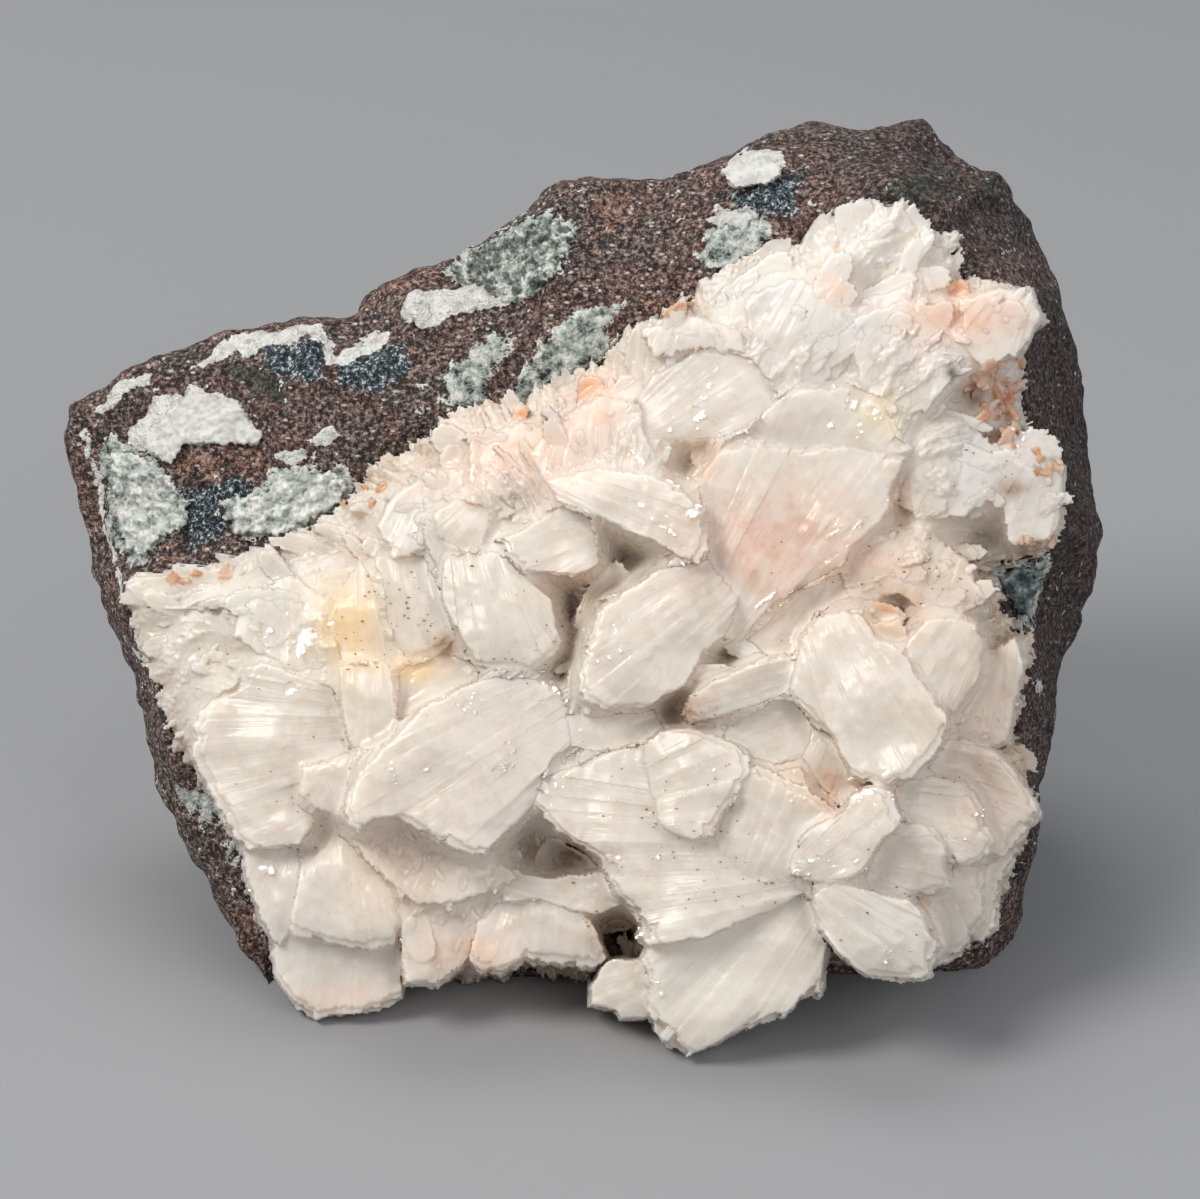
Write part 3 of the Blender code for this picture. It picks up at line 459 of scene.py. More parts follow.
# The big crystals. Soft ones have grown into the crust and only lift it. Each row is: group, depth
# of the middle, slope to the right, slope upwards, the point that the blades run out from, mean
# width of a blade, length of its teeth, layers, outline in pixels.
CRYSTALS = [
    ("fan", 11.5, 0.1, 0.16, (824, 872), 17, 8, 2,
     [(649, 945), (642, 965), (651, 1016), (660, 1036), (675, 1051), (690, 1058), (712, 1047),
      (733, 1033), (758, 1023), (782, 1020), (799, 1000), (818, 1001), (826, 950), (820, 925),
      (812, 900), (740, 890), (670, 920)]),
    ("fan", 13.2, 0.1, -0.1, (850, 850), 20, 7, 2,
     [(540, 782), (530, 802), (560, 836), (600, 860), (611, 883), (623, 903), (638, 922),
      (635, 933), (649, 946), (700, 938), (760, 915), (812, 893), (806, 850), (770, 800),
      (700, 750), (640, 745), (590, 755)]),
    ("fan", 15.0, 0.08, -0.16, (600, 810), 22, 3, 2,
     [(642, 752), (660, 733), (680, 729), (700, 731), (720, 740), (748, 751), (749, 770),
      (740, 790), (718, 820), (714, 836), (690, 839), (660, 825)]),
    ("fan", 14.6, 0.1, 0.05, (730, 930), 20, 3, 2,
     [(749, 762), (780, 775), (808, 790), (842, 813), (824, 850), (812, 893), (765, 905),
      (722, 872), (716, 836), (738, 795)]),
    ("fan", 6.5, 0.1, 0.15, (710, 950), 16, 4, 1,
     [(652, 958), (608, 962), (600, 970), (592, 990), (590, 1006), (612, 1010), (617, 1019),
      (640, 1019), (653, 1014)]),
    ("right", 17.0, -0.1, 0.1, (798, 878), 16, 6, 2,
     [(812, 897), (835, 882), (865, 890), (910, 901), (928, 920), (937, 945), (931, 973),
      (918, 980), (880, 979), (863, 972), (840, 952), (822, 932)]),
    ("right", 17.8, 0.12, -0.12, (760, 905), 16, 5, 2,
     [(842, 813), (850, 800), (865, 790), (880, 787), (890, 795), (902, 820), (895, 835),
      (880, 842), (865, 870), (850, 877), (820, 883), (791, 876), (792, 858), (806, 832)]),
    ("right", 16.0, 0.2, -0.08, (812, 585), 18, 3.5, 2,
     [(820, 618), (845, 612), (869, 620), (878, 640), (900, 652), (925, 690), (946, 715),
      (950, 730), (935, 753), (915, 776), (890, 785), (850, 775), (835, 735), (805, 712),
      (790, 693), (802, 640)]),
    ("right", 14.6, -0.3, -0.08, (1010, 560), 15, 3, 2,
     [(900, 655), (925, 621), (950, 618), (975, 625), (983, 642), (978, 680), (960, 705),
      (948, 722), (925, 692)]),
    ("right", 11.5, 0.0, -0.05, (860, 700), 20, 3, 1,
     [(800, 762), (825, 793), (842, 812), (865, 792), (892, 786), (862, 768), (838, 736),
      (812, 728)]),
    ("right", 12.5, 0.0, -0.1, (770, 850), 16, 2, 1,
     [(758, 780), (780, 772), (800, 766), (808, 788), (808, 808), (780, 800)]),
    ("right", 14.5, -0.1, 0.1, (845, 852), 18, 6, 2,
     [(880, 842), (865, 875), (870, 893), (885, 897), (935, 894), (954, 887), (948, 865),
      (952, 850), (935, 830), (900, 822)]),
    ("right", 13.4, -0.15, -0.05, (868, 800), 18, 4, 2,
     [(895, 800), (900, 785), (930, 778), (965, 782), (983, 808), (994, 840), (985, 860),
      (970, 865), (954, 864), (942, 840), (902, 822)]),
    ("right", 9.0, -0.2, 0.0, (900, 760), 18, 4, 2,
     [(920, 768), (940, 745), (965, 740), (1003, 757), (1025, 788), (1037, 805), (1037, 817),
      (1015, 845), (1005, 855), (985, 862), (978, 830), (965, 795)]),
    ("right", 8.0, -0.2, 0.1, (925, 850), 16, 5, 2,
     [(954, 865), (985, 863), (984, 900), (983, 922), (963, 950), (937, 968), (932, 960),
      (936, 930), (915, 897)]),
    ("right", 3.2, -0.2, 0.1, (950, 860), 14, 4, 1,
     [(985, 865), (1000, 855), (1013, 846), (1018, 857), (1010, 874), (998, 888), (1000, 925),
      (985, 940), (966, 940), (975, 900)]),
    ("soft", 6.0, -0.2, 0.0, (1010, 600), 18, 3, 1,
     [(958, 712), (985, 655), (1015, 640), (1026, 665), (1014, 700), (1010, 742), (985, 750),
      (948, 738)]),
    ("upper", 9.0, -0.05, -0.14, (690, 668), 15, 4, 3,
     [(697, 480), (713, 460), (728, 440), (750, 430), (800, 440), (860, 436), (915, 448),
      (897, 478), (899, 500), (880, 522), (853, 545), (841, 565), (800, 590), (780, 600),
      (745, 640), (715, 640), (700, 580), (704, 520)]),
    ("upper", 7.6, 0.0, -0.1, (745, 560), 16, 5, 2,
     [(745, 432), (775, 400), (800, 385), (850, 384), (888, 400), (898, 425), (918, 450),
      (880, 460), (800, 458)]),
    ("upper", 6.8, 0.05, -0.12, (600, 470), 18, 3, 2,
     [(640, 440), (690, 442), (728, 436), (770, 415), (782, 398), (760, 360), (705, 348),
      (655, 375), (632, 410)]),
    ("upper", 11.8, 0.1, -0.22, (515, 462), 15, 3, 2,
     [(545, 480), (600, 468), (655, 478), (683, 496), (706, 508), (708, 548), (697, 567),
      (670, 552), (640, 535), (600, 520), (560, 505)]),
    ("soft", 7.4, 0.05, -0.16, (600, 360), 18, 3, 1,
     [(560, 420), (600, 396), (640, 405), (645, 440), (668, 478), (610, 478), (545, 484),
      (528, 452)]),
    ("upper", 9.6, 0.0, -0.3, (630, 515), 11, 3, 2,
     [(495, 540), (520, 532), (545, 515), (562, 507), (590, 518), (600, 565), (570, 577),
      (520, 571)]),
    ("soft", 5.6, 0.0, -0.2, (520, 400), 17, 3, 1,
     [(470, 440), (520, 425), (555, 430), (560, 470), (540, 505), (500, 520), (470, 500)]),
    ("soft", 5.4, 0.0, -0.16, (450, 440), 17, 3, 1,
     [(390, 500), (430, 470), (465, 470), (460, 500), (430, 520), (428, 548), (395, 560),
      (375, 530)]),
    ("soft", 6.6, 0.0, -0.14, (700, 290), 15, 4, 1,
     [(655, 365), (640, 330), (690, 315), (740, 330), (745, 362), (705, 350)]),
    ("soft", 6.8, 0.0, -0.14, (830, 250), 15, 4, 1,
     [(745, 300), (790, 280), (835, 290), (850, 330), (820, 372), (775, 392), (752, 358)]),
    ("soft", 6.6, -0.05, -0.1, (950, 270), 15, 4, 1,
     [(850, 320), (905, 300), (950, 320), (960, 370), (925, 412), (898, 422), (860, 386)]),
    ("soft", 5.4, -0.15, -0.05, (1030, 270), 14, 4, 1,
     [(960, 300), (1000, 290), (1030, 292), (1040, 318), (1022, 352), (985, 372), (962, 345)]),
    ("soft", 6.0, -0.1, 0.0, (1000, 410), 15, 3, 1,
     [(905, 480), (925, 440), (960, 420), (1000, 450), (1005, 490), (960, 520), (915, 520)]),
    ("soft", 5.0, -0.15, 0.0, (1060, 430), 14, 3, 1,
     [(1000, 452), (1040, 446), (1064, 470), (1058, 520), (1050, 545), (1010, 545),
      (1000, 500)]),
    ("soft", 7.0, -0.05, 0.05, (960, 500), 16, 3, 1,
     [(850, 560), (880, 528), (925, 530), (965, 560), (985, 600), (950, 616), (925, 614),
      (897, 594), (868, 620), (845, 608)]),
    ("upper", 8.0, -0.1, -0.1, (870, 530), 13, 5, 1,
     [(745, 640), (800, 592), (840, 572), (850, 600), (815, 618), (800, 655), (770, 658)]),
    ("middle", 13.0, -0.05, -0.1, (775, 545), 18, 2, 2,
     [(620, 598), (598, 614), (590, 640), (578, 680), (583, 700), (600, 709), (645, 707),
      (685, 684), (700, 655), (722, 640), (740, 602), (705, 560), (655, 572)]),
    ("middle", 10.0, 0.0, -0.1, (690, 690), 18, 3, 1,
     [(562, 712), (600, 716), (650, 710), (667, 729), (650, 744), (600, 752), (570, 748)]),
    ("middle", 10.0, 0.0, -0.06, (465, 500), 19, 1.5, 2,
     [(446, 560), (470, 553), (500, 553), (530, 582), (550, 600), (560, 640), (552, 660),
      (530, 672), (480, 668), (455, 625), (443, 600)]),
    ("middle", 7.5, 0.1, -0.16, (500, 480), 14, 2, 1,
     [(432, 520), (440, 510), (455, 500), (480, 505), (492, 515), (480, 545), (465, 553),
      (440, 538)]),
    ("middle", 14.0, -0.12, 0.12, (870, 648), 10, 5, 2,
     [(682, 714), (690, 694), (720, 678), (760, 661), (780, 657), (800, 661), (812, 670),
      (812, 690), (790, 696), (740, 711), (710, 722), (692, 724)]),
    ("middle", 11.6, -0.05, 0.0, (850, 705), 16, 3, 1,
     [(720, 740), (728, 725), (745, 718), (770, 703), (795, 702), (812, 725), (820, 734),
      (800, 757), (780, 763), (750, 758)]),
    ("left", 12.8, -0.08, -0.12, (640, 650), 18, 3, 2,
     [(362, 770), (420, 712), (440, 700), (465, 688), (480, 680), (530, 678), (560, 690),
      (572, 745), (548, 765), (530, 811), (482, 856), (454, 848), (426, 836), (398, 818),
      (380, 820), (363, 832), (350, 825), (343, 815), (350, 790)]),
    ("left", 8.6, 0.1, -0.05, (366, 600), 16, 1.5, 1,
     [(337, 668), (345, 667), (385, 662), (392, 672), (397, 720), (396, 736), (372, 750),
      (352, 746), (345, 725)]),
    ("left", 8.0, 0.1, 0.0, (370, 720), 14, 2, 1,
     [(303, 768), (320, 765), (350, 752), (353, 765), (345, 790), (343, 810), (335, 816),
      (320, 812), (302, 795)]),
    ("left", 5.2, 0.1, -0.05, (385, 735), 17, 3, 2,
     [(200, 710), (215, 700), (238, 683), (242, 668), (262, 663), (290, 675), (330, 688),
      (342, 715), (352, 740), (345, 765), (303, 768), (302, 800), (320, 815), (300, 845),
      (250, 850), (232, 835), (215, 800), (195, 760), (192, 730)]),
    ("left", 2.6, 0.05, 0.12, (350, 840), 17, 3, 2,
     [(272, 955), (280, 985), (300, 1010), (317, 1019), (360, 1014), (392, 1005), (401, 997),
      (400, 940), (395, 905), (330, 880), (300, 900)]),
    ("left", 6.0, 0.05, 0.0, (335, 800), 17, 3, 2,
     [(300, 870), (320, 850), (340, 835), (385, 880), (402, 925), (390, 951), (365, 950),
      (345, 948), (297, 938), (290, 930)]),
    ("left", 3.6, 0.12, 0.0, (305, 810), 16, 3, 1,
     [(240, 850), (262, 842), (300, 850), (298, 880), (290, 930), (280, 950), (268, 935),
      (250, 890)]),
    ("soft", 7.6, 0.0, -0.08, (470, 770), 20, 2, 1,
     [(345, 838), (362, 832), (400, 822), (460, 850), (500, 860), (520, 880), (470, 900),
      (420, 905), (395, 890)]),
    ("soft", 6.0, -0.1, 0.1, (445, 860), 16, 3, 1,
     [(402, 925), (420, 902), (470, 898), (480, 925), (462, 965), (440, 984), (405, 984)]),
    ("left", 7.0, 0.1, 0.1, (545, 860), 14, 4, 2,
     [(470, 960), (478, 925), (500, 905), (545, 900), (590, 918), (606, 960), (590, 972),
      (555, 966), (525, 962), (505, 974), (480, 974)]),
    ("left", 8.2, 0.1, -0.1, (455, 872), 12, 3, 1,
     [(500, 862), (545, 878), (600, 870), (625, 905), (590, 918), (545, 902), (505, 904)]),
    ("left", 4.0, 0.0, 0.0, (650, 890), 14, 2, 1,
     [(545, 838), (560, 838), (600, 864), (610, 884), (590, 900), (545, 882), (535, 860)]),
    ("soft", 4.2, 0.05, -0.14, (285, 540), 17, 2, 1,
     [(240, 600), (290, 575), (325, 600), (330, 655), (335, 680), (290, 668), (262, 655),
      (235, 640)]),
    ("left", 6.0, 0.15, -0.1, (358, 500), 14, 2, 1,
     [(338, 590), (362, 560), (376, 590), (388, 650), (384, 662), (340, 664), (330, 620)]),
    ("left", 6.6, 0.1, -0.1, (395, 500), 13, 2, 2,
     [(376, 560), (398, 545), (425, 560), (445, 602), (456, 640), (440, 655), (412, 664),
      (392, 640)]),
    ("left", 7.0, 0.0, -0.05, (530, 630), 15, 2, 1,
     [(398, 670), (440, 655), (480, 664), (478, 682), (440, 700), (418, 712), (398, 728)])]

GROUPS = ["soft", "fan", "right", "upper", "middle", "left"]
# The surface is a field of depths in millimetres on a grid of view pixels. Lengths across the view
# are in pixels and heights in millimetres. A cell is filled when it lies above FILLED.
CELL = 1.3
GRID_LOW = (110.0, 180.0)
GRID_SIZE = (747, 686)
EMPTY = -100.0
FILLED = -50.0
# The blades fan out from a root that is moved this many times farther off. An outline is swollen
# a little, so that neighbours meet.
ROOT_FAR = 1.9
SWELL = 5.5
# The blades of a layer lie at slightly different heights, and each lower layer stands out farther.
STEPS = (-0.04, -0.02, -0.01, 0.01, 0.02, 0.04)
LAYER_DROP = 0.38
LAYER_SHRINK = 7.0
# Below the layers a stack of coarser ones carries the crystal down to the crust.
STACK = 4
STACK_DROP = 1.3
STACK_STEP = 1.1
# A face is rounded at its edge, rises towards its middle, sinks towards its root and is chipped.
EDGE_WIDTH = 3.0
EDGE_DROP = 0.22
PILLOW_WIDTH = 30.0
PILLOW = 0.22
ROOT_SHARE = 0.42
ROOT_SINK = 1.3
CHIP = 2.8
# Unevenness of a face: height, size across and along the blades, noise seed, and the same with
# one size for both ways.
FACE_GROOVES = [(0.12, 16.0, 70.0, 5.0), (0.02, 4.5, 60.0, 9.0)]
FACE_WAVES = [(0.9, 55.0, 0.0), (0.10, 11.0, 2.0)]
# The crust lies this far before the basalt, runs out from a hub, and fills up to its neighbours.
HUB = (590.0, 610.0)
HUB_REACH = 260.0
CRUST_GAP = 0.3
CRUST_THICK = 4.2
COVER_GAP = 0.1
FILL_BLUR = 8.0
BETWEEN_RISE = 1.1
LOOSE_WEIGHT = 0.12
RIM_WIDTH = 80.0
RIM_THICK = 0.9
# Relief of the crust: waves of a height, size and seed, and ridges of a height, size round the
# hub, size away from it and seed.
CRUST_WAVES = [(1.3, 48.0, 1.3), (0.3, 8.0, 3.0), (0.16, 3.6, 6.0)]
CRUST_RIDGES = [(0.9, 34.0, 90.0, 4.0), (0.55, 13.0, 46.0, 8.0), (0.32, 5.0, 24.0, 12.0)]
CRUST_OUTLINE = [
    (140, 568), (175, 572), (230, 560), (290, 540), (350, 500), (380, 470), (430, 435),
    (455, 410), (480, 405), (530, 398), (545, 384), (575, 380), (600, 362), (625, 330),
    (680, 310), (700, 285), (760, 252), (797, 248), (810, 232), (830, 215), (855, 210),
    (880, 203), (905, 205), (920, 222), (940, 240), (955, 240), (963, 275), (1015, 287),
    (1030, 290), (1043, 318), (1025, 350), (1020, 400), (1020, 430), (1045, 440), (1060, 450),
    (1068, 480), (1060, 545), (1040, 556), (1000, 565), (985, 568), (998, 590), (1012, 628),
    (1033, 634), (1030, 672), (1020, 700), (1015, 740), (1025, 765), (1036, 800), (1036, 816),
    (1020, 860), (1000, 905), (985, 930), (955, 950), (880, 958), (800, 960), (700, 965),
    (598, 980), (583, 978), (550, 975), (525, 968), (505, 980), (455, 983), (445, 988),
    (410, 988), (395, 1000), (330, 1008), (290, 990), (270, 962), (262, 930), (252, 900),
    (243, 880), (235, 842), (222, 830), (218, 800), (200, 778), (180, 760), (160, 700),
    (140, 650), (130, 600)]
# Hollows between the crystals: middle and radius in pixels, depth in millimetres.
HOLLOWS = [(572, 858, 30, 5.0), (612, 932, 26, 5.0), (560, 595, 30, 1.4), (445, 645, 15, 2.5),
           (690, 712, 20, 4.5), (828, 790, 18, 3.5), (702, 460, 14, 2.0), (902, 500, 9, 2.0),
           (952, 372, 7, 2.0), (972, 394, 9, 2.2), (1012, 490, 10, 1.5), (892, 605, 22, 0.8),
           (415, 610, 22, 1.5), (770, 760, 16, 1.5), (985, 440, 6, 1.5)]

# Soft fields of colour over the druse: middle and radii in pixels, linear colour, strength.
CREAM = (0.692, 0.614, 0.528)
# The brown to near black fields over the hollows are partly brown stain and partly painted shade.
TINTS_AND_SHADE = [
    (860, 270, 190, 100, (0.80, 0.75, 0.69), 0.9), (1000, 470, 70, 90, (0.70, 0.66, 0.61), 0.8),
    (620, 420, 160, 60, (0.78, 0.70, 0.62), 0.6), (230, 620, 90, 60, (0.76, 0.70, 0.60), 0.7),
    (505, 455, 70, 42, (0.90, 0.60, 0.45), 0.75), (590, 400, 34, 40, (0.88, 0.54, 0.39), 0.75),
    (775, 545, 90, 62, (0.70, 0.43, 0.31), 0.8), (955, 318, 62, 30, (0.88, 0.53, 0.37), 0.8),
    (835, 290, 26, 20, (0.88, 0.55, 0.40), 0.6), (350, 628, 34, 46, (0.86, 0.58, 0.24), 0.85),
    (415, 668, 30, 18, (0.84, 0.58, 0.28), 0.8), (385, 870, 60, 55, (0.80, 0.58, 0.42), 0.6),
    (470, 955, 46, 30, (0.86, 0.58, 0.43), 0.6), (340, 1000, 50, 16, (0.86, 0.58, 0.43), 0.6),
    (985, 690, 50, 80, (0.72, 0.53, 0.38), 0.6), (940, 560, 60, 46, (0.78, 0.58, 0.44), 0.6),
    (990, 800, 50, 46, (0.68, 0.50, 0.37), 0.6), (890, 612, 30, 24, (0.62, 0.35, 0.18), 0.8),
    (560, 590, 50, 22, (0.72, 0.48, 0.32), 0.7), (445, 645, 16, 16, (0.45, 0.24, 0.10), 0.8),
    (690, 712, 26, 22, (0.30, 0.15, 0.07), 0.9), (702, 460, 16, 20, (0.68, 0.42, 0.25), 0.7),
    (828, 790, 22, 26, (0.52, 0.29, 0.16), 0.8), (572, 858, 34, 22, (0.22, 0.11, 0.055), 0.95),
    (612, 932, 30, 26, (0.34, 0.19, 0.10), 0.9), (902, 500, 10, 26, (0.52, 0.28, 0.14), 0.9),
    (985, 395, 26, 22, (0.60, 0.33, 0.20), 0.7), (1010, 490, 18, 10, (0.35, 0.22, 0.13), 0.9),
    (952, 372, 8, 8, (0.05, 0.03, 0.02), 1.0), (972, 394, 11, 9, (0.06, 0.035, 0.02), 1.0),
    (885, 415, 26, 26, (0.88, 0.74, 0.48), 0.6), (880, 560, 40, 20, (0.82, 0.58, 0.43), 0.5),
    (960, 950, 30, 30, (0.55, 0.50, 0.44), 0.6), (800, 780, 30, 20, (0.72, 0.50, 0.34), 0.5),
    (290, 930, 90, 90, (0.66, 0.62, 0.56), 0.6), (700, 980, 110, 70, (0.80, 0.75, 0.66), 0.8),
    (880, 930, 60, 45, (0.64, 0.61, 0.55), 0.7), (500, 610, 60, 60, (0.68, 0.63, 0.55), 0.5)]
STAIN_AND_SHADE = np.array((0.58, 0.40, 0.25))
EDGE_LIGHT = (0.93, 0.79, 0.66)
chance = random.Random(20)


def at_many(px, py, depth):
    """The points that lie on arrays of view pixels and depths."""
    near = 1.0 - depth * MM / EYE
    flat = (np.outer((px - MIDDLE) * PIXEL * near, RIGHT) + np.outer((MIDDLE - py) * PIXEL * near, UP)
            + np.outer(depth * MM, TOWARD))
    return flat + np.array(VIEW_POINT)


def face_depth(row):
    """Depth of the basalt face under the druse at a pixel row."""
    return FACE_DEPTH + FACE_SLOPE * (MIDDLE - row) * PIXEL_MM


def ripple(across, along, seed):
    """Smooth noise at arrays of two coordinates."""
    flat = [noise.noise(Vector((a, b, seed))) for a, b in zip(across.ravel(), along.ravel())]
    return np.array(flat).reshape(across.shape)


def ridged(across, along, seed):
    """Noise folded to sharp ridges, from about -0.5 to 0.4."""
    return 0.4 - 2.0 * np.abs(ripple(across, along, seed))


def rounding_off(distance, width):
    """1 at an edge, falling softly to 0 at a distance of one width."""
    return (1.0 - np.clip(distance / width, 0.0, 1.0)) ** 2


def blurred(field, width):
    """A field smoothed with a bell curve of a width in cells."""
    half = int(width * 3)
    bell = np.exp(-0.5 * (np.arange(-half, half + 1) / width) ** 2)
    bell /= bell.sum()
    for axis in (0, 1):
        pad = [(0, 0), (0, 0)]
        pad[axis] = (half, half)
        wide = np.pad(field, pad, mode="edge")
        total = np.zeros(field.shape)
        for number, part in enumerate(bell):
            total += part * (wide[number:number + field.shape[0]] if axis == 0
                             else wide[:, number:number + field.shape[1]])
        field = total
    return field


def tint_at(columns, rows):
    """Colour of the druse at arrays of view pixels."""
    colour = np.tile(np.array(CREAM), (len(columns), 1))
    for x, y, wide, high, tone_and_highlight, strength in TINTS_AND_SHADE:
        away = ((columns - x) / wide) ** 2 + ((rows - y) / high) ** 2
        share = (strength * np.exp(-away * 1.1))[:, None]
        colour = colour * (1.0 - share) + np.array(tone_and_highlight) * share
    return colour


def reaches(outline, root, angle):
    """Nearest and farthest distance at which a ray from the root meets an outline."""
    dx, dy = math.cos(angle), math.sin(angle)
    found = []
    for i, (ax, ay) in enumerate(outline):
        bx, by = outline[(i + 1) % len(outline)]
        ex, ey = bx - ax, by - ay
        cross = dx * ey - dy * ex
        if abs(cross) < 1e-9:
            continue
        wx, wy = ax - root[0], ay - root[1]
        along = (wx * ey - wy * ex) / cross
        part = (wx * dy - wy * dx) / cross
        if along > 0.0 and -1e-6 <= part <= 1.000001:
            found.append(along)
    return (min(found), max(found)) if found else (0.0, 0.0)


def centre(outline):
    return (sum(p[0] for p in outline) / len(outline), sum(p[1] for p in outline) / len(outline))


def half_turn(angle):
    """An angle brought between minus and plus half a turn."""
    return (angle + math.pi) % (2 * math.pi) - math.pi


def drawn(number, low, high):
    """A random number for each of some blades."""
    return np.array([chance.uniform(low, high) for _ in range(number)])


def swell(outline, amount):
    """An outline pushed outward from its middle by some pixels."""
    cx, cy = centre(outline)
    grown = []
    for x, y in outline:
        away = max(math.hypot(x - cx, y - cy), 1.0)
        grown.append((x + (x - cx) / away * amount, y + (y - cy) / away * amount))
    return grown


def window(outline):
    """The part of the grid round an outline."""
    xs = [(p[0] - GRID_LOW[0]) / CELL for p in outline]
    ys = [(p[1] - GRID_LOW[1]) / CELL for p in outline]
    return (slice(max(int(min(ys)) - 1, 0), min(int(max(ys)) + 3, GRID_SIZE[1])),
            slice(max(int(min(xs)) - 1, 0), min(int(max(xs)) + 3, GRID_SIZE[0])))


grid_x, grid_y = np.meshgrid(GRID_LOW[0] + CELL * np.arange(GRID_SIZE[0]),
                             GRID_LOW[1] + CELL * np.arange(GRID_SIZE[1]))
height = np.full(grid_x.shape, EMPTY)
owner = np.full(grid_x.shape, -1)
tone_and_highlight = np.ones(grid_x.shape)
gloss = np.zeros(grid_x.shape)
lines = np.zeros(grid_x.shape + (3,))
stacked = np.zeros(grid_x.shape, bool)


def put(area, better, surface, group, across, along, bright, below=False):
    """Let a crystal's surface take over the grid where it is the better one."""
    height[area] = np.where(better, surface, height[area])
    owner[area] = np.where(better, group, owner[area])
    tone_and_highlight[area] = np.where(better, bright, tone_and_highlight[area])
    gloss[area] = np.where(better, 0.0, gloss[area])
    stacked[area] = np.where(better, below, stacked[area])
    for axis, values in ((0, across), (1, along)):
        lines[area + (axis,)] = np.where(better, values, lines[area + (axis,)])


def grow(row, seed):
    """Grow one big crystal as layers of blades that fan out from its root."""
    group, depth, slope_x, slope_y, root, width, teeth, count, outline = row
    cx, cy = centre(outline)
    outline = swell(outline, SWELL)
    root = (cx + (root[0] - cx) * ROOT_FAR, cy + (root[1] - cy) * ROOT_FAR)
    area = window(outline)
    x, y = grid_x[area], grid_y[area]
    edge = inside(x.ravel(), y.ravel(), outline).reshape(x.shape)
    middle = math.atan2(cy - root[1], cx - root[0])
    turn = half_turn(np.arctan2(y - root[1], x - root[0]) - middle)
    away = np.hypot(x - root[0], y - root[1])
    turns = [half_turn(math.atan2(b - root[1], a - root[0]) - middle) for a, b in outline]
    low, high = min(turns), max(turns)
    far = max(math.hypot(a - root[0], b - root[1]) for a, b in outline)
    marks = np.linspace(low, high, 90)
    hits = np.array([reaches(outline, root, middle + a) for a in marks])
    nearest, limit = np.interp(turn, marks, hits[:, 0]), np.interp(turn, marks, hits[:, 1])
    out = (away - nearest) / np.maximum(limit - nearest, 1.0)
    across = turn * far
    chips = CHIP * ripple(across / 8.0, away / 16.0, seed) + 1.0 * ripple(x / 4.5, y / 4.5, seed)
    plane = depth + slope_x * (x - cx) * PIXEL_MM + slope_y * (cy - y) * PIXEL_MM
    for high_by, size, shift in FACE_WAVES:
        plane = plane + high_by * ripple(x / size, y / size, seed + shift)
    for high_by, wide_by, long_by, shift in FACE_GROOVES:
        plane = plane + high_by * ripple(across / wide_by, away / long_by, seed + shift)
    plane = plane - ROOT_SINK * rounding_off(out, ROOT_SHARE)
    plane = plane - PILLOW * rounding_off(edge, PILLOW_WIDTH)
    for level in range(count + STACK):
        under = max(0, level - count + 1)
        number = max(2, round((high - low) * far / width))
        cuts = np.array([low] + [low + (high - low) * (i + chance.uniform(-0.42, 0.42)) / number
                                 for i in range(1, number)] + [high])
        place = np.clip(np.searchsorted(cuts, turn) - 1, 0, number - 1)
        part = (turn - cuts[place]) / np.maximum(cuts[place + 1] - cuts[place], 1e-6)
        short = teeth * 1.6 * drawn(number, 0.0, 1.0) ** 2
        slant = teeth * drawn(number, -0.9, 0.9)
        rise = np.array([chance.choice(STEPS) for _ in range(number)])
        lean = drawn(number, -0.05, 0.05)
        shade = drawn(number, 0.98, 1.01)
        # Each blade carries steps of its own along its length.
        runs = drawn(number, 18.0, 60.0)
        starts = drawn(number, 0.0, 60.0)
        saw = ((away + starts[place]) / runs[place]) % 1.0
        pull = short[place] + slant[place] * (part - 0.5) + LAYER_SHRINK * (count - 1 - level + under)
        grown = STACK_STEP * (under - STACK) + STACK_STEP * ripple(x / 14.0, y / 14.0, 60.0 + level)
        rim = np.minimum(edge, limit - pull - away) + chips + grown
        surface = plane - LAYER_DROP * (level - under) - STACK_DROP * under + rise[place]
        surface = surface + lean[place] * (part - 0.5) * width * 0.2 + 0.03 * saw
        surface = surface - EDGE_DROP * rounding_off(rim, EDGE_WIDTH)
        better = (rim > 0.0) & (surface > height[area])
        # A blade's tone differs at random, and a painted highlight makes it a little brighter along
        # its rim.
        bright = shade[place] * (1.0 + 0.05 * (rim < EDGE_WIDTH))
        put(area, better, surface, GROUPS.index(group), across * PIXEL_MM, away * PIXEL_MM, bright,
            under > 0)


for index, row in enumerate(CRYSTALS):
    grow(row, 3.0 + index * 1.7)

# The crust fills the room between the big crystals and thins to its rim.
lid = height.copy()
covered = (lid > FILLED) & ~stacked
hard = ((owner > 0) & covered).astype(float)
ground = face_depth(grid_y) + CRUST_GAP
plain = ground + CRUST_THICK
weight = np.where(covered, 1.0, LOOSE_WEIGHT)
fill = blurred(np.where(covered, lid - COVER_GAP, plain) * weight, FILL_BLUR)
fill = fill / blurred(weight, FILL_BLUR)
between = blurred(hard, FILL_BLUR)
fill = fill + BETWEEN_RISE * between * (1.0 - hard)
roof = blurred(np.where(covered, lid, plain), FILL_BLUR * 2.0)
turn = np.arctan2(HUB[1] - grid_y, grid_x - HUB[0])
away = np.hypot(grid_x - HUB[0], grid_y - HUB[1])
around = turn * HUB_REACH
rim = inside(grid_x.ravel(), grid_y.ravel(), CRUST_OUTLINE).reshape(grid_x.shape)
crust_zone = rim > -14.0
relief = np.zeros(grid_x.shape)
fray = np.zeros(grid_x.shape)
spots = np.nonzero(crust_zone)
spot_x, spot_y, spot_round, spot_away = (field[spots] for field in (grid_x, grid_y, around, away))
spot_round = spot_round + 18.0 * ripple(spot_x / 60.0, spot_y / 60.0, 31.0)
for high_by, size, seed in CRUST_WAVES:
    relief[spots] += high_by * ripple(spot_x / size, spot_y / size, seed)
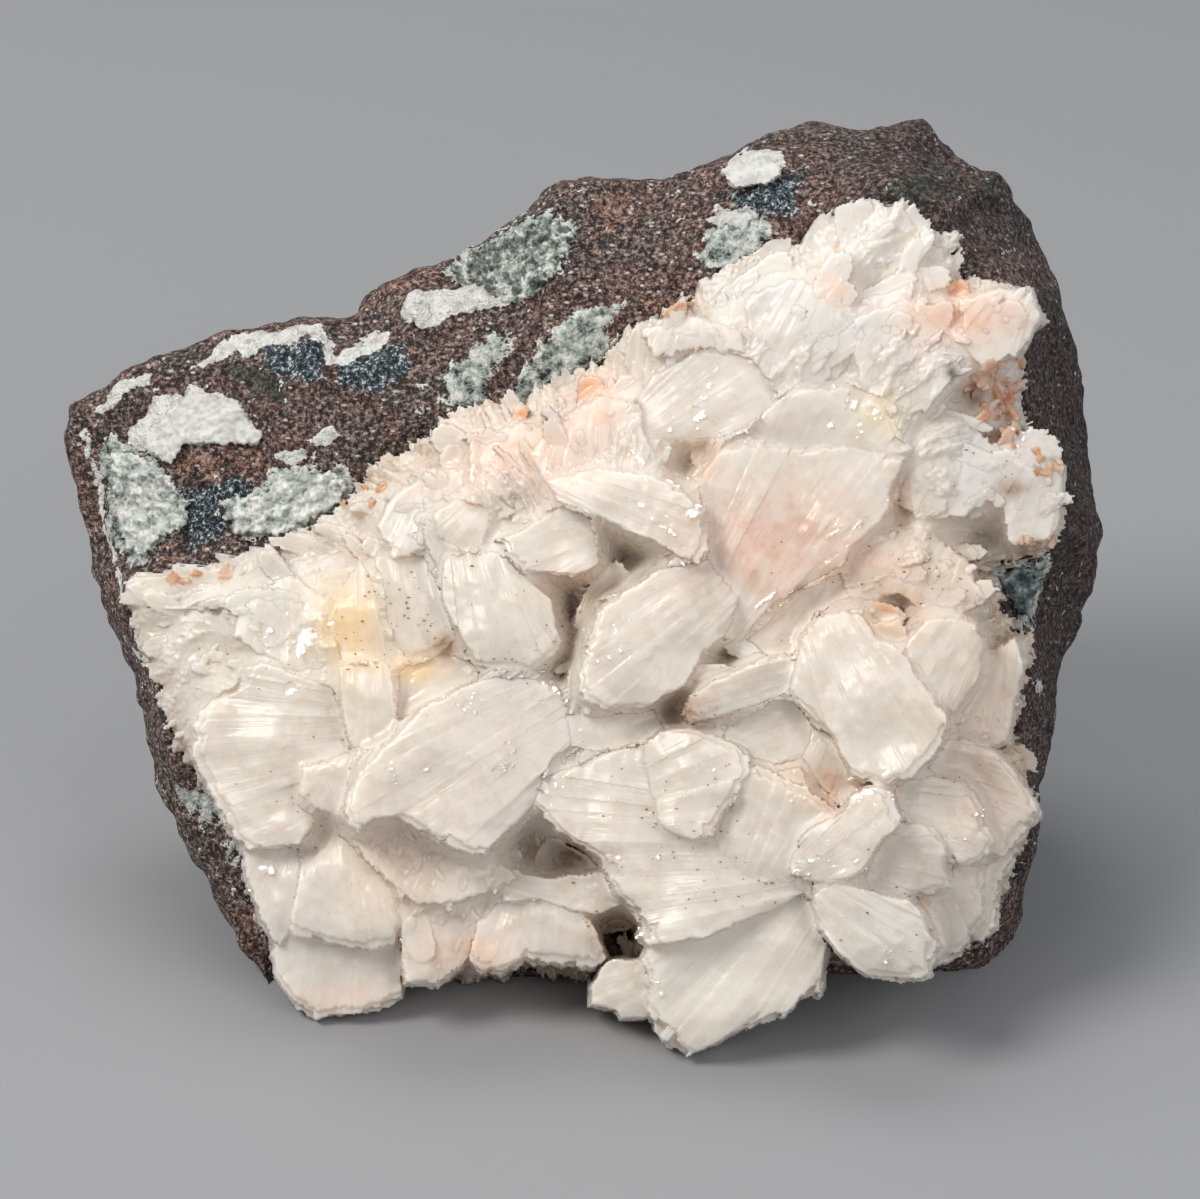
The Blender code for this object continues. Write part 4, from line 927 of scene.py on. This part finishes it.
for high_by, wide_by, long_by, seed in CRUST_RIDGES:
    relief[spots] += high_by * ridged(spot_round / wide_by, spot_away / long_by, seed)
fray[spots] = (11.0 * ripple(spot_round / 9.0, spot_away / 30.0, 17.0)
               + 5.0 * ripple(spot_x / 4.0, spot_y / 4.0, 19.0))
rim = rim + fray + 2.0
full = 1.0 - rounding_off(rim, RIM_WIDTH)
crust = (ground + RIM_THICK + (fill - ground - RIM_THICK) * full
         + relief * (0.35 + 0.65 * full) * (1.0 - 0.75 * between))
for x, y, wide, drop in HOLLOWS:
    crust = crust - drop * np.exp(-(((grid_x - x) / wide) ** 2 + ((grid_y - y) / wide) ** 2))
crust = np.where(hard > 0.5, np.minimum(crust, lid - 0.25), crust)
crust = np.maximum(crust, ground + 0.25)
better = (rim > 0.0) & (crust > height)
everywhere = (slice(None), slice(None))
put(everywhere, better, crust, 0, around * PIXEL_MM, away * PIXEL_MM, 1.0)


def grid_value(field, x, y):
    """Value of a grid field at the nearest cell to a pixel."""
    i = min(max(round((x - GRID_LOW[0]) / CELL), 0), GRID_SIZE[0] - 1)
    j = min(max(round((y - GRID_LOW[1]) / CELL), 0), GRID_SIZE[1] - 1)
    return field[j, i]


# A small blade may reach this many pixels past the rim of the crust.
OVERHANG = 7.0


def small_blade(x, y, long_side, wide_side, heading, rise, tilt, cross, bright):
    """Lay one small blade on the druse, its blunt free end raised along its heading."""
    dx, dy = math.cos(heading), -math.sin(heading)
    area = window([(x - long_side, y - long_side), (x + long_side, y + long_side)])
    px, py = grid_x[area] - x, grid_y[area] - y
    along, across = px * dx + py * dy, py * dx - px * dy
    taper = wide_side * (0.38 + 0.24 * np.clip(along / long_side + 0.5, 0.0, 1.0))
    leaf = (np.abs(along) / long_side * 2.0) ** 3.0 + (np.abs(across) / taper) ** 2.0
    chips = min(2.0, 0.14 * wide_side) * ripple(px / 4.0, py / 4.0, x)
    edge = (1.0 - leaf) * wide_side * 0.3 + chips
    surface = (grid_value(height, x, y) + rise + tilt * along * PIXEL_MM + cross * across * PIXEL_MM
               - 0.14 * rounding_off(edge, 2.5) + 0.05 * ripple(across / 2.5, along / 14.0, x))
    better = (edge > 0.0) & (surface > height[area]) & (owner[area] <= 0) & (rim[area] > -OVERHANG)
    put(area, better, surface, 0, across * PIXEL_MM, along * PIXEL_MM + x, bright)
    return area, better


# The small blades that the crust is made of: count, length, width, tilt and rise ranges.
CRUST_BLADES = [(420, (34, 90), (12, 30), (-0.03, 0.08), (-0.25, 0.0)),
                (800, (16, 44), (5, 12), (0.0, 0.16), (-0.15, 0.04)),
                (800, (7, 18), (2.5, 5), (0.0, 0.3), (-0.06, 0.08))]
for count, long_range, wide_range, tilt_range, rise_range in CRUST_BLADES:
    for _ in range(count):
        x, y = chance.uniform(130, 1070), chance.uniform(200, 1010)
        if grid_value(rim, x, y) < 2.0 or grid_value(owner, x, y) != 0:
            continue
        heading = math.atan2(HUB[1] - y, x - HUB[0]) + chance.gauss(0.0, 0.5)
        small_blade(x, y, chance.uniform(*long_range), chance.uniform(*wide_range), heading,
                    chance.uniform(*rise_range), chance.uniform(*tilt_range),
                    chance.uniform(-0.14, 0.14), chance.uniform(0.95, 1.03))

# Orange to brown blades in a few spots by the rim: outline in pixels, count, length range, width
# range, rise range, colour.
colour = tint_at(grid_x.ravel(), grid_y.ravel()).reshape(grid_x.shape + (3,))
ORANGE_ZONES = [
    ([(975, 365), (1020, 360), (1022, 430), (1000, 445), (975, 410)], 30, (12, 30), (5, 10),
     (0.3, 1.2), (0.52, 0.24, 0.13)),
    ([(630, 305), (690, 296), (690, 318), (632, 326)], 12, (10, 20), (4, 8), (0.1, 0.6),
     (0.64, 0.28, 0.13)),
    ([(145, 560), (190, 560), (235, 566), (150, 582)], 14, (10, 20), (4, 8), (0.1, 0.5),
     (0.60, 0.30, 0.15)),
    ([(340, 490), (385, 474), (392, 490), (345, 508)], 10, (10, 20), (4, 8), (0.1, 0.6),
     (0.66, 0.32, 0.17)),
    ([(1036, 452), (1060, 452), (1062, 474), (1040, 474)], 8, (8, 18), (4, 8), (0.2, 0.8),
     (0.60, 0.32, 0.18)),
    ([(1020, 536), (1052, 536), (1046, 552), (1024, 552)], 8, (8, 18), (4, 8), (0.2, 0.8),
     (0.52, 0.28, 0.17))]
for zone, count, long_range, wide_range, rise_range, zone_tone in ORANGE_ZONES:
    for _ in range(count):
        x = chance.uniform(min(p[0] for p in zone), max(p[0] for p in zone))
        y = chance.uniform(min(p[1] for p in zone), max(p[1] for p in zone))
        area, better = small_blade(
            x, y, chance.uniform(*long_range), chance.uniform(*wide_range),
            chance.uniform(0.0, 2.0 * math.pi), chance.uniform(*rise_range) * 0.6,
            chance.uniform(0.1, 0.5), chance.uniform(-0.3, 0.3), chance.uniform(0.85, 1.1))
        colour[area] = np.where(better[..., None], np.array(zone_tone), colour[area])
# Larger orange crystals on the crust: middle, length, width, heading in degrees.
ORANGE = (0.80, 0.42, 0.24)
ORANGE_CRYSTALS = [(518, 418, 26, 13, 55), (955, 292, 30, 20, 20), (590, 396, 40, 26, 80)]
for x, y, long_side, wide_side, heading in ORANGE_CRYSTALS:
    area, better = small_blade(x, y, long_side, wide_side, math.radians(heading), 0.3, 0.1, 0.1, 1.0)
    colour[area] = np.where(better[..., None], np.array(ORANGE), colour[area])

# Faces that send the light back to the eye, each flat and smooth, at these slopes across and up.
MIRROR_X = 0.347
MIRROR_Y = -0.315
# Smaller ones lie round each.
SPARKS = 7
# Middle in pixels, width, height and turn in degrees.
FACETS = [(303, 640, 26, 38, 20), (296, 652, 18, 16, 0), (557, 472, 18, 9, 60),
          (600, 455, 16, 8, 20), (672, 486, 30, 11, 35), (690, 513, 24, 12, 0),
          (668, 530, 26, 8, 40), (697, 415, 16, 20, 70), (703, 398, 10, 8, 20),
          (740, 445, 20, 8, -35), (852, 404, 15, 16, 10), (875, 412, 14, 12, 0),
          (500, 768, 22, 6, -35), (656, 856, 11, 11, 20), (617, 859, 9, 9, 0),
          (388, 770, 12, 7, 0), (425, 770, 16, 5, -25), (812, 860, 22, 6, -20),
          (835, 866, 20, 6, -15), (790, 880, 16, 5, -30), (868, 792, 24, 9, -10),
          (855, 798, 12, 9, 0), (895, 795, 12, 5, 40), (995, 905, 14, 12, 0),
          (765, 600, 34, 7, -40), (852, 530, 40, 7, -42), (830, 560, 22, 6, -42),
          (615, 632, 14, 6, 50), (592, 655, 14, 5, 35), (620, 651, 10, 6, 30),
          (468, 705, 8, 14, 70), (555, 690, 10, 10, 0), (950, 836, 10, 6, 0),
          (975, 815, 10, 6, 0), (795, 797, 8, 5, 10), (712, 770, 11, 6, 10),
          (660, 993, 10, 8, 0), (640, 930, 7, 10, 60), (885, 960, 6, 6, 0),
          (265, 870, 26, 12, 10), (1022, 437, 12, 15, 0), (960, 605, 9, 9, 0),
          (985, 612, 8, 14, 60), (555, 785, 9, 12, 0), (610, 812, 9, 6, 50)]
flecks = []
for x, y, wide, high, heading in FACETS:
    dx, dy = math.cos(math.radians(heading)), math.sin(math.radians(heading))
    flecks.append((x, y, wide * 0.85, high * 0.85, heading))
    for _ in range(SPARKS):
        a, b = chance.gauss(0.0, wide * 0.75), chance.gauss(0.0, high * 1.1)
        size = chance.uniform(0.15, 0.55)
        flecks.append((x + dx * a - dy * b, y + dy * a + dx * b, max(wide * size, 5.0),
                       max(high * size, 3.5), heading + chance.uniform(-25, 25)))
for x, y, wide, high, heading in flecks:
    dx, dy = math.cos(math.radians(heading)), math.sin(math.radians(heading))
    reach = max(wide, high)
    area = window([(x - reach, y - reach), (x + reach, y + reach)])
    px, py = grid_x[area] - x, grid_y[area] - y
    along, across = (px * dx + py * dy) / wide, (py * dx - px * dy) / high
    bump = 0.3 * ripple(px / 5.0, py / 5.0, x)
    better = np.abs(along) + 0.6 * np.abs(across) < 0.5 + bump
    better &= (np.abs(across) < 0.42 + bump) & (height[area] > FILLED)
    surface = grid_value(height, x, y) + 0.03 + MIRROR_X * px * PIXEL_MM - MIRROR_Y * py * PIXEL_MM
    better &= surface > height[area] - 0.5
    height[area] = np.where(better, surface, height[area])
    gloss[area] = np.where(better, 1.0, gloss[area])

# The milky growth rounds the inner corners where crystals meet, but not in the deep hollows.
solid = height > FILLED
level = np.where(solid, height, ground)
deep = rising(roof - level, 1.6, 3.0) * (owner == 0)
for reach in (2.0, 5.0):
    rounding = 0.5 * np.clip(blurred(level, reach) - level, 0.0, 0.9) * (1.0 - deep)
    height = np.where(solid, height + rounding, height)
    level = np.where(solid, height, ground)
# The hollows are stained tan to brown, and the same colour paints the shade that falls into them.
share = 0.6 * deep[..., None]
colour = colour * tone_and_highlight[..., None] * (1.0 - share) + np.array(STAIN_AND_SHADE) * share
# Painted light: the cracks are painted warm and pale, as light coming through the thin edges would
# make them.
crack = rising(blurred(level, 3.0) - level, 0.08, 0.6)
share = 0.75 * (crack * (1.0 - deep))[..., None]
colour = colour * (1.0 - share) + np.array(EDGE_LIGHT) * share
# Painted highlight: ridges that stand above their surroundings are made a little brighter.
bright = rising(level - blurred(level, 1.6), 0.0, 0.25)[..., None]
colour = np.minimum(colour * (1.0 + 0.05 * bright), 0.93)

# The druse is too fine for one mesh and is parted where its big crystals meet. Near a joint the
# light isn't scattered below the surface, because the walls there would darken it.
closest = np.stack([blurred((owner == number).astype(float), 14.0) for number in range(1, 6)])
region = np.where(owner > 0, owner, closest.argmax(axis=0) + 1)
joint = np.zeros(height.shape)
joint[:-1, :] += region[:-1, :] != region[1:, :]
joint[:, :-1] += region[:, :-1] != region[:, 1:]
milky = 1.0 - np.clip(blurred(joint, 5.0) * 9.0, 0.0, 1.0)
# The foot of a wall that stands out past the crust is drawn towards the hub in short pulls.
PULLS = 18
PULL = 0.985
# No part of the druse reaches lower than this over the floor.
LOWEST = 0.0002
SHARP = math.radians(38.0)


def druse_piece(name, number):
    """One closed piece of the druse: its cells of the grid, with walls down to the basalt."""
    corners = np.stack([height[:-1, :-1], height[:-1, 1:], height[1:, 1:], height[1:, :-1]])
    regions = np.stack([region[:-1, :-1], region[:-1, 1:], region[1:, 1:], region[1:, :-1]])
    top = np.take_along_axis(regions, corners.argmax(axis=0)[None], axis=0)[0]
    mine = (top == number) & (corners.min(axis=0) > FILLED)
    used_rows, used_columns = np.nonzero(mine.any(axis=1))[0], np.nonzero(mine.any(axis=0))[0]
    first_row, first_column = used_rows[0], used_columns[0]
    tall, wide = used_rows[-1] + 1 - first_row, used_columns[-1] + 1 - first_column
    bm = bmesh.new()
    bmesh.ops.create_grid(bm, x_segments=wide, y_segments=tall, size=0.5)
    mesh = bpy.data.meshes.new(name)
    bm.to_mesh(mesh)
    bm.free()
    flat = points_of(mesh)
    columns = np.round((flat[:, 0] + 0.5) * wide).astype(int) + first_column
    rows = np.round((flat[:, 1] + 0.5) * tall).astype(int) + first_row
    move_to(mesh, at_many(grid_x[rows, columns], grid_y[rows, columns], level[rows, columns]))
    paint(mesh, "tint", colour[rows, columns])
    for layer, field in (("gloss", gloss), ("milky", milky)):
        mesh.attributes.new(layer, "FLOAT", "POINT").data.foreach_set("value", field[rows, columns])
    mesh.attributes.new("lines", "FLOAT_VECTOR", "POINT").data.foreach_set(
        "vector", lines[rows, columns].ravel())
    corner = np.empty(len(mesh.polygons) * 4, int)
    mesh.loops.foreach_get("vertex_index", corner)
    corner = corner.reshape(-1, 4)
    keep = mine[rows[corner].min(axis=1), columns[corner].min(axis=1)]
    bm = bmesh.new()
    bm.from_mesh(mesh)
    bm.faces.ensure_lookup_table()
    away = [bm.faces[int(index)] for index in np.nonzero(~keep)[0]]
    bmesh.ops.delete(bm, geom=away, context="FACES")
    border = [edge for edge in bm.edges if edge.is_boundary]
    walls = bmesh.ops.extrude_edge_only(bm, edges=border)["geom"]
    lower = [item for item in walls if isinstance(item, bmesh.types.BMVert)]
    px, py, depth = seen(np.array([vert.co for vert in lower]))
    for _ in range(PULLS):
        share = np.where(inside(px, py, CRUST_OUTLINE) < 0.0, PULL, 1.0)
        px, py = HUB[0] + (px - HUB[0]) * share, HUB[1] + (py - HUB[1]) * share
    for vert, place in zip(lower, at_many(px, py, face_depth(py) + CRUST_GAP)):
        vert.co = place
    ends = [item for item in walls if isinstance(item, bmesh.types.BMEdge) and item.is_boundary]
    bmesh.ops.triangle_fill(bm, edges=ends, use_beauty=False)
    for vert in bm.verts:
        vert.co.z = max(vert.co.z, LOWEST)
    bmesh.ops.recalc_face_normals(bm, faces=bm.faces)
    bm.to_mesh(mesh)
    bm.free()
    mesh.shade_smooth()
    mesh.set_sharp_from_angle(angle=SHARP)
    piece = bpy.data.objects.new(name, mesh)
    bpy.context.scene.collection.objects.link(piece)
    return piece


# How much light is scattered below the surface and how many metres it reaches, how far the fine
# lines are drawn out along a blade, and the roughness of the mirror faces.
MILKY_SHARE = 0.75
MILKY_REACH = 0.003
LINE_STRETCH = 0.09
MIRROR_ROUGH = 0.07
pearl, nodes, links, shader = finish("heulandite_pearl", 0.3)
coords = nodes.new("ShaderNodeTexCoord").outputs["Object"]
streak = nodes.new("ShaderNodeAttribute")
streak.attribute_name = "lines"
stretch = nodes.new("ShaderNodeMapping")
stretch.inputs["Scale"].default_value = (1.0, LINE_STRETCH, 1.0)
links.new(streak.outputs["Vector"], stretch.inputs["Vector"])
fine_lines = nodes.new("ShaderNodeTexNoise")
fine_lines.inputs["Scale"].default_value = 2.2
fine_lines.inputs["Detail"].default_value = 2.0
fine_lines.inputs["Roughness"].default_value = 0.65
links.new(stretch.outputs["Vector"], fine_lines.inputs["Vector"])
cloud = grain(nodes, links, coords, 2.0, 2.0, 0.6)
tint = mix(nodes, links, ramp(nodes, links, cloud, [(0.4, 0.0), (0.7, 0.45)]),
           attribute(nodes, "tint"), (0.78, 0.74, 0.67))
tint = mix(nodes, links, ramp(nodes, links, fine_lines.outputs["Fac"], [(0.3, 0.12), (0.48, 0.0)]),
           tint, (0.76, 0.63, 0.50))
dirt = ramp(nodes, links, grain(nodes, links, coords, 0.55, 1.0, 0.5), [(0.80, 0.0), (0.83, 1.0)])
tint = mix(nodes, links, maths(nodes, links, "MULTIPLY", dirt, 0.6), tint, (0.36, 0.20, 0.10))
links.new(tint, shader.inputs["Base Color"])
shine = nodes.new("ShaderNodeAttribute")
shine.attribute_name = "gloss"
links.new(mix(nodes, links, shine.outputs["Fac"],
              ramp(nodes, links, cloud, [(0.3, 0.2), (0.7, 0.45)]), (MIRROR_ROUGH,) * 3),
          shader.inputs["Roughness"])
cloudy = nodes.new("ShaderNodeAttribute")
cloudy.attribute_name = "milky"
links.new(maths(nodes, links, "MULTIPLY", cloudy.outputs["Fac"], MILKY_SHARE),
          shader.inputs["Subsurface Weight"])
shader.inputs["Subsurface Radius"].default_value = (1.0, 0.82, 0.66)
shader.inputs["Subsurface Scale"].default_value = MILKY_REACH
shader.inputs["IOR"].default_value = 1.5
flatter = maths(nodes, links, "SUBTRACT", 1.0, maths(nodes, links, "MULTIPLY",
                                                     shine.outputs["Fac"], 0.93))
raise_surface(nodes, links, shader, maths(nodes, links, "MULTIPLY", fine_lines.outputs["Fac"],
                                           flatter), 0.07)

for number in range(1, len(GROUPS)):
    crystals = druse_piece("heulandite_druse_" + GROUPS[number], number)
    crystals.data.materials.append(pearl)
    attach(crystals, "root")
    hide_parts("heulandite_druse")

# Brown grains of iron oxide, each as small as fine sand. They were left by water and cling to the
# crystals and in the hollows between them.
# Each row is: middle and spread in pixels, how many.
GRAIN_SPOTS = [
    (572, 858, 26, 18, 26), (612, 925, 24, 16, 26), (700, 845, 60, 40, 34), (760, 900, 60, 30, 14),
    (560, 620, 26, 34, 22), (400, 610, 40, 40, 34), (440, 645, 16, 14, 10), (690, 790, 90, 26, 16),
    (330, 830, 16, 10, 8), (520, 660, 26, 12, 10), (960, 790, 40, 30, 12), (940, 560, 50, 44, 22),
    (840, 560, 70, 60, 12), (500, 600, 60, 40, 10), (700, 710, 30, 16, 14), (990, 430, 24, 40, 20),
    (280, 780, 70, 80, 14), (900, 905, 60, 40, 10), (360, 640, 26, 50, 20), (230, 640, 50, 50, 10)]
GRAIN_SIZE = (0.00004, 0.00012)


def at(px, py, depth):
    """The point that lies on a view pixel, a depth in millimetres before the middle plane."""
    near = 1.0 - depth * MM / EYE
    return (VIEW_POINT + RIGHT * ((px - MIDDLE) * PIXEL * near)
            + UP * ((MIDDLE - py) * PIXEL * near) + TOWARD * (depth * MM))


bm = bmesh.new()
for x, y, wide, high, count in GRAIN_SPOTS:
    for _ in range(count):
        px, py = chance.gauss(x, wide * 0.6), chance.gauss(y, high * 0.6)
        if not grid_value(solid, px, py):
            continue
        middle = at(px, py, grid_value(level, px, py) + 0.05)
        size = chance.uniform(*GRAIN_SIZE)
        made = bmesh.ops.create_icosphere(bm, subdivisions=1, radius=size)
        stretch = Vector((chance.uniform(0.6, 2.2), chance.uniform(0.6, 1.4), 0.8))
        for vert in made["verts"]:
            vert.co = middle + Vector(
                [vert.co[i] * stretch[i] * chance.uniform(0.8, 1.2) for i in range(3)])
mesh = bpy.data.meshes.new("brown_grains")
bm.to_mesh(mesh)
bm.free()
grains = bpy.data.objects.new("brown_grains", mesh)
bpy.context.scene.collection.objects.link(grains)
iron, nodes, links, shader = finish("iron_brown", 0.7)
coords = nodes.new("ShaderNodeTexCoord").outputs["Object"]
links.new(ramp(nodes, links, grain(nodes, links, coords, 4.0, 2.0, 0.5),
               [(0.4, (0.24, 0.12, 0.05)), (0.6, (0.42, 0.25, 0.12))]),
          shader.inputs["Base Color"])
raise_surface(nodes, links, shader, grain(nodes, links, coords, 0.2, 3.0, 0.5), 0.05)
mesh.materials.append(iron)
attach(grains, "root")
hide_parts("heulandite_druse")

# The plain pale floor that the specimen stands on, the camera that looks down on its front, and
# three soft round studio lights.
FLOOR_HALF = 2.0
FLOOR_GREY = (0.30, 0.30, 0.305, 1.0)
bm = bmesh.new()
bmesh.ops.create_grid(bm, x_segments=1, y_segments=1, size=FLOOR_HALF)
mesh = bpy.data.meshes.new("floor")
bm.to_mesh(mesh)
bm.free()
floor = bpy.data.objects.new("floor", mesh)
bpy.context.scene.collection.objects.link(floor)
plain_floor, nodes, links, shader = finish("floor_plain", 0.9)
shader.inputs["Base Color"].default_value = FLOOR_GREY
mesh.materials.append(plain_floor)

lens = bpy.data.cameras.new("camera")
lens.sensor_width = 36.0
lens.lens = 150.0
camera = bpy.data.objects.new("camera", lens)
bpy.context.scene.collection.objects.link(camera)
camera.location = VIEW_POINT + TOWARD * EYE
camera.rotation_euler = (math.pi / 2 - LEAN, 0.0, 0.0)
bpy.context.scene.camera = camera

# Name, place and size in metres, power, colour. All aim at the middle of the specimen.
AIM = Vector((0.0, 0.0, 0.035))
SKY = (0.9, 0.93, 1.0, 1.0)
SKY_STRENGTH = 0.42
LIGHTS = [("key", (-0.55, -0.35, 0.75), 0.45, 6.6, (1.0, 0.985, 0.955)),
          ("fill", (0.5, -0.7, 0.5), 0.6, 2.9, (0.97, 0.98, 1.0)),
          ("top", (-0.1, 0.35, 0.9), 0.5, 2.6, (1.0, 1.0, 1.0))]
for name, place, size, power, colour in LIGHTS:
    lamp = bpy.data.lights.new(name, "AREA")
    lamp.shape = "DISK"
    lamp.size = size
    lamp.energy = power
    lamp.color = colour
    holder = bpy.data.objects.new(name, lamp)
    holder.location = place
    holder.rotation_euler = (AIM - Vector(place)).to_track_quat("-Z", "Y").to_euler()
    bpy.context.scene.collection.objects.link(holder)
world = bpy.data.worlds.new("studio")
world.use_nodes = True
world.node_tree.nodes["Background"].inputs["Color"].default_value = SKY
world.node_tree.nodes["Background"].inputs["Strength"].default_value = SKY_STRENGTH
bpy.context.scene.world = world
bpy.context.scene.view_settings.view_transform = "Standard"
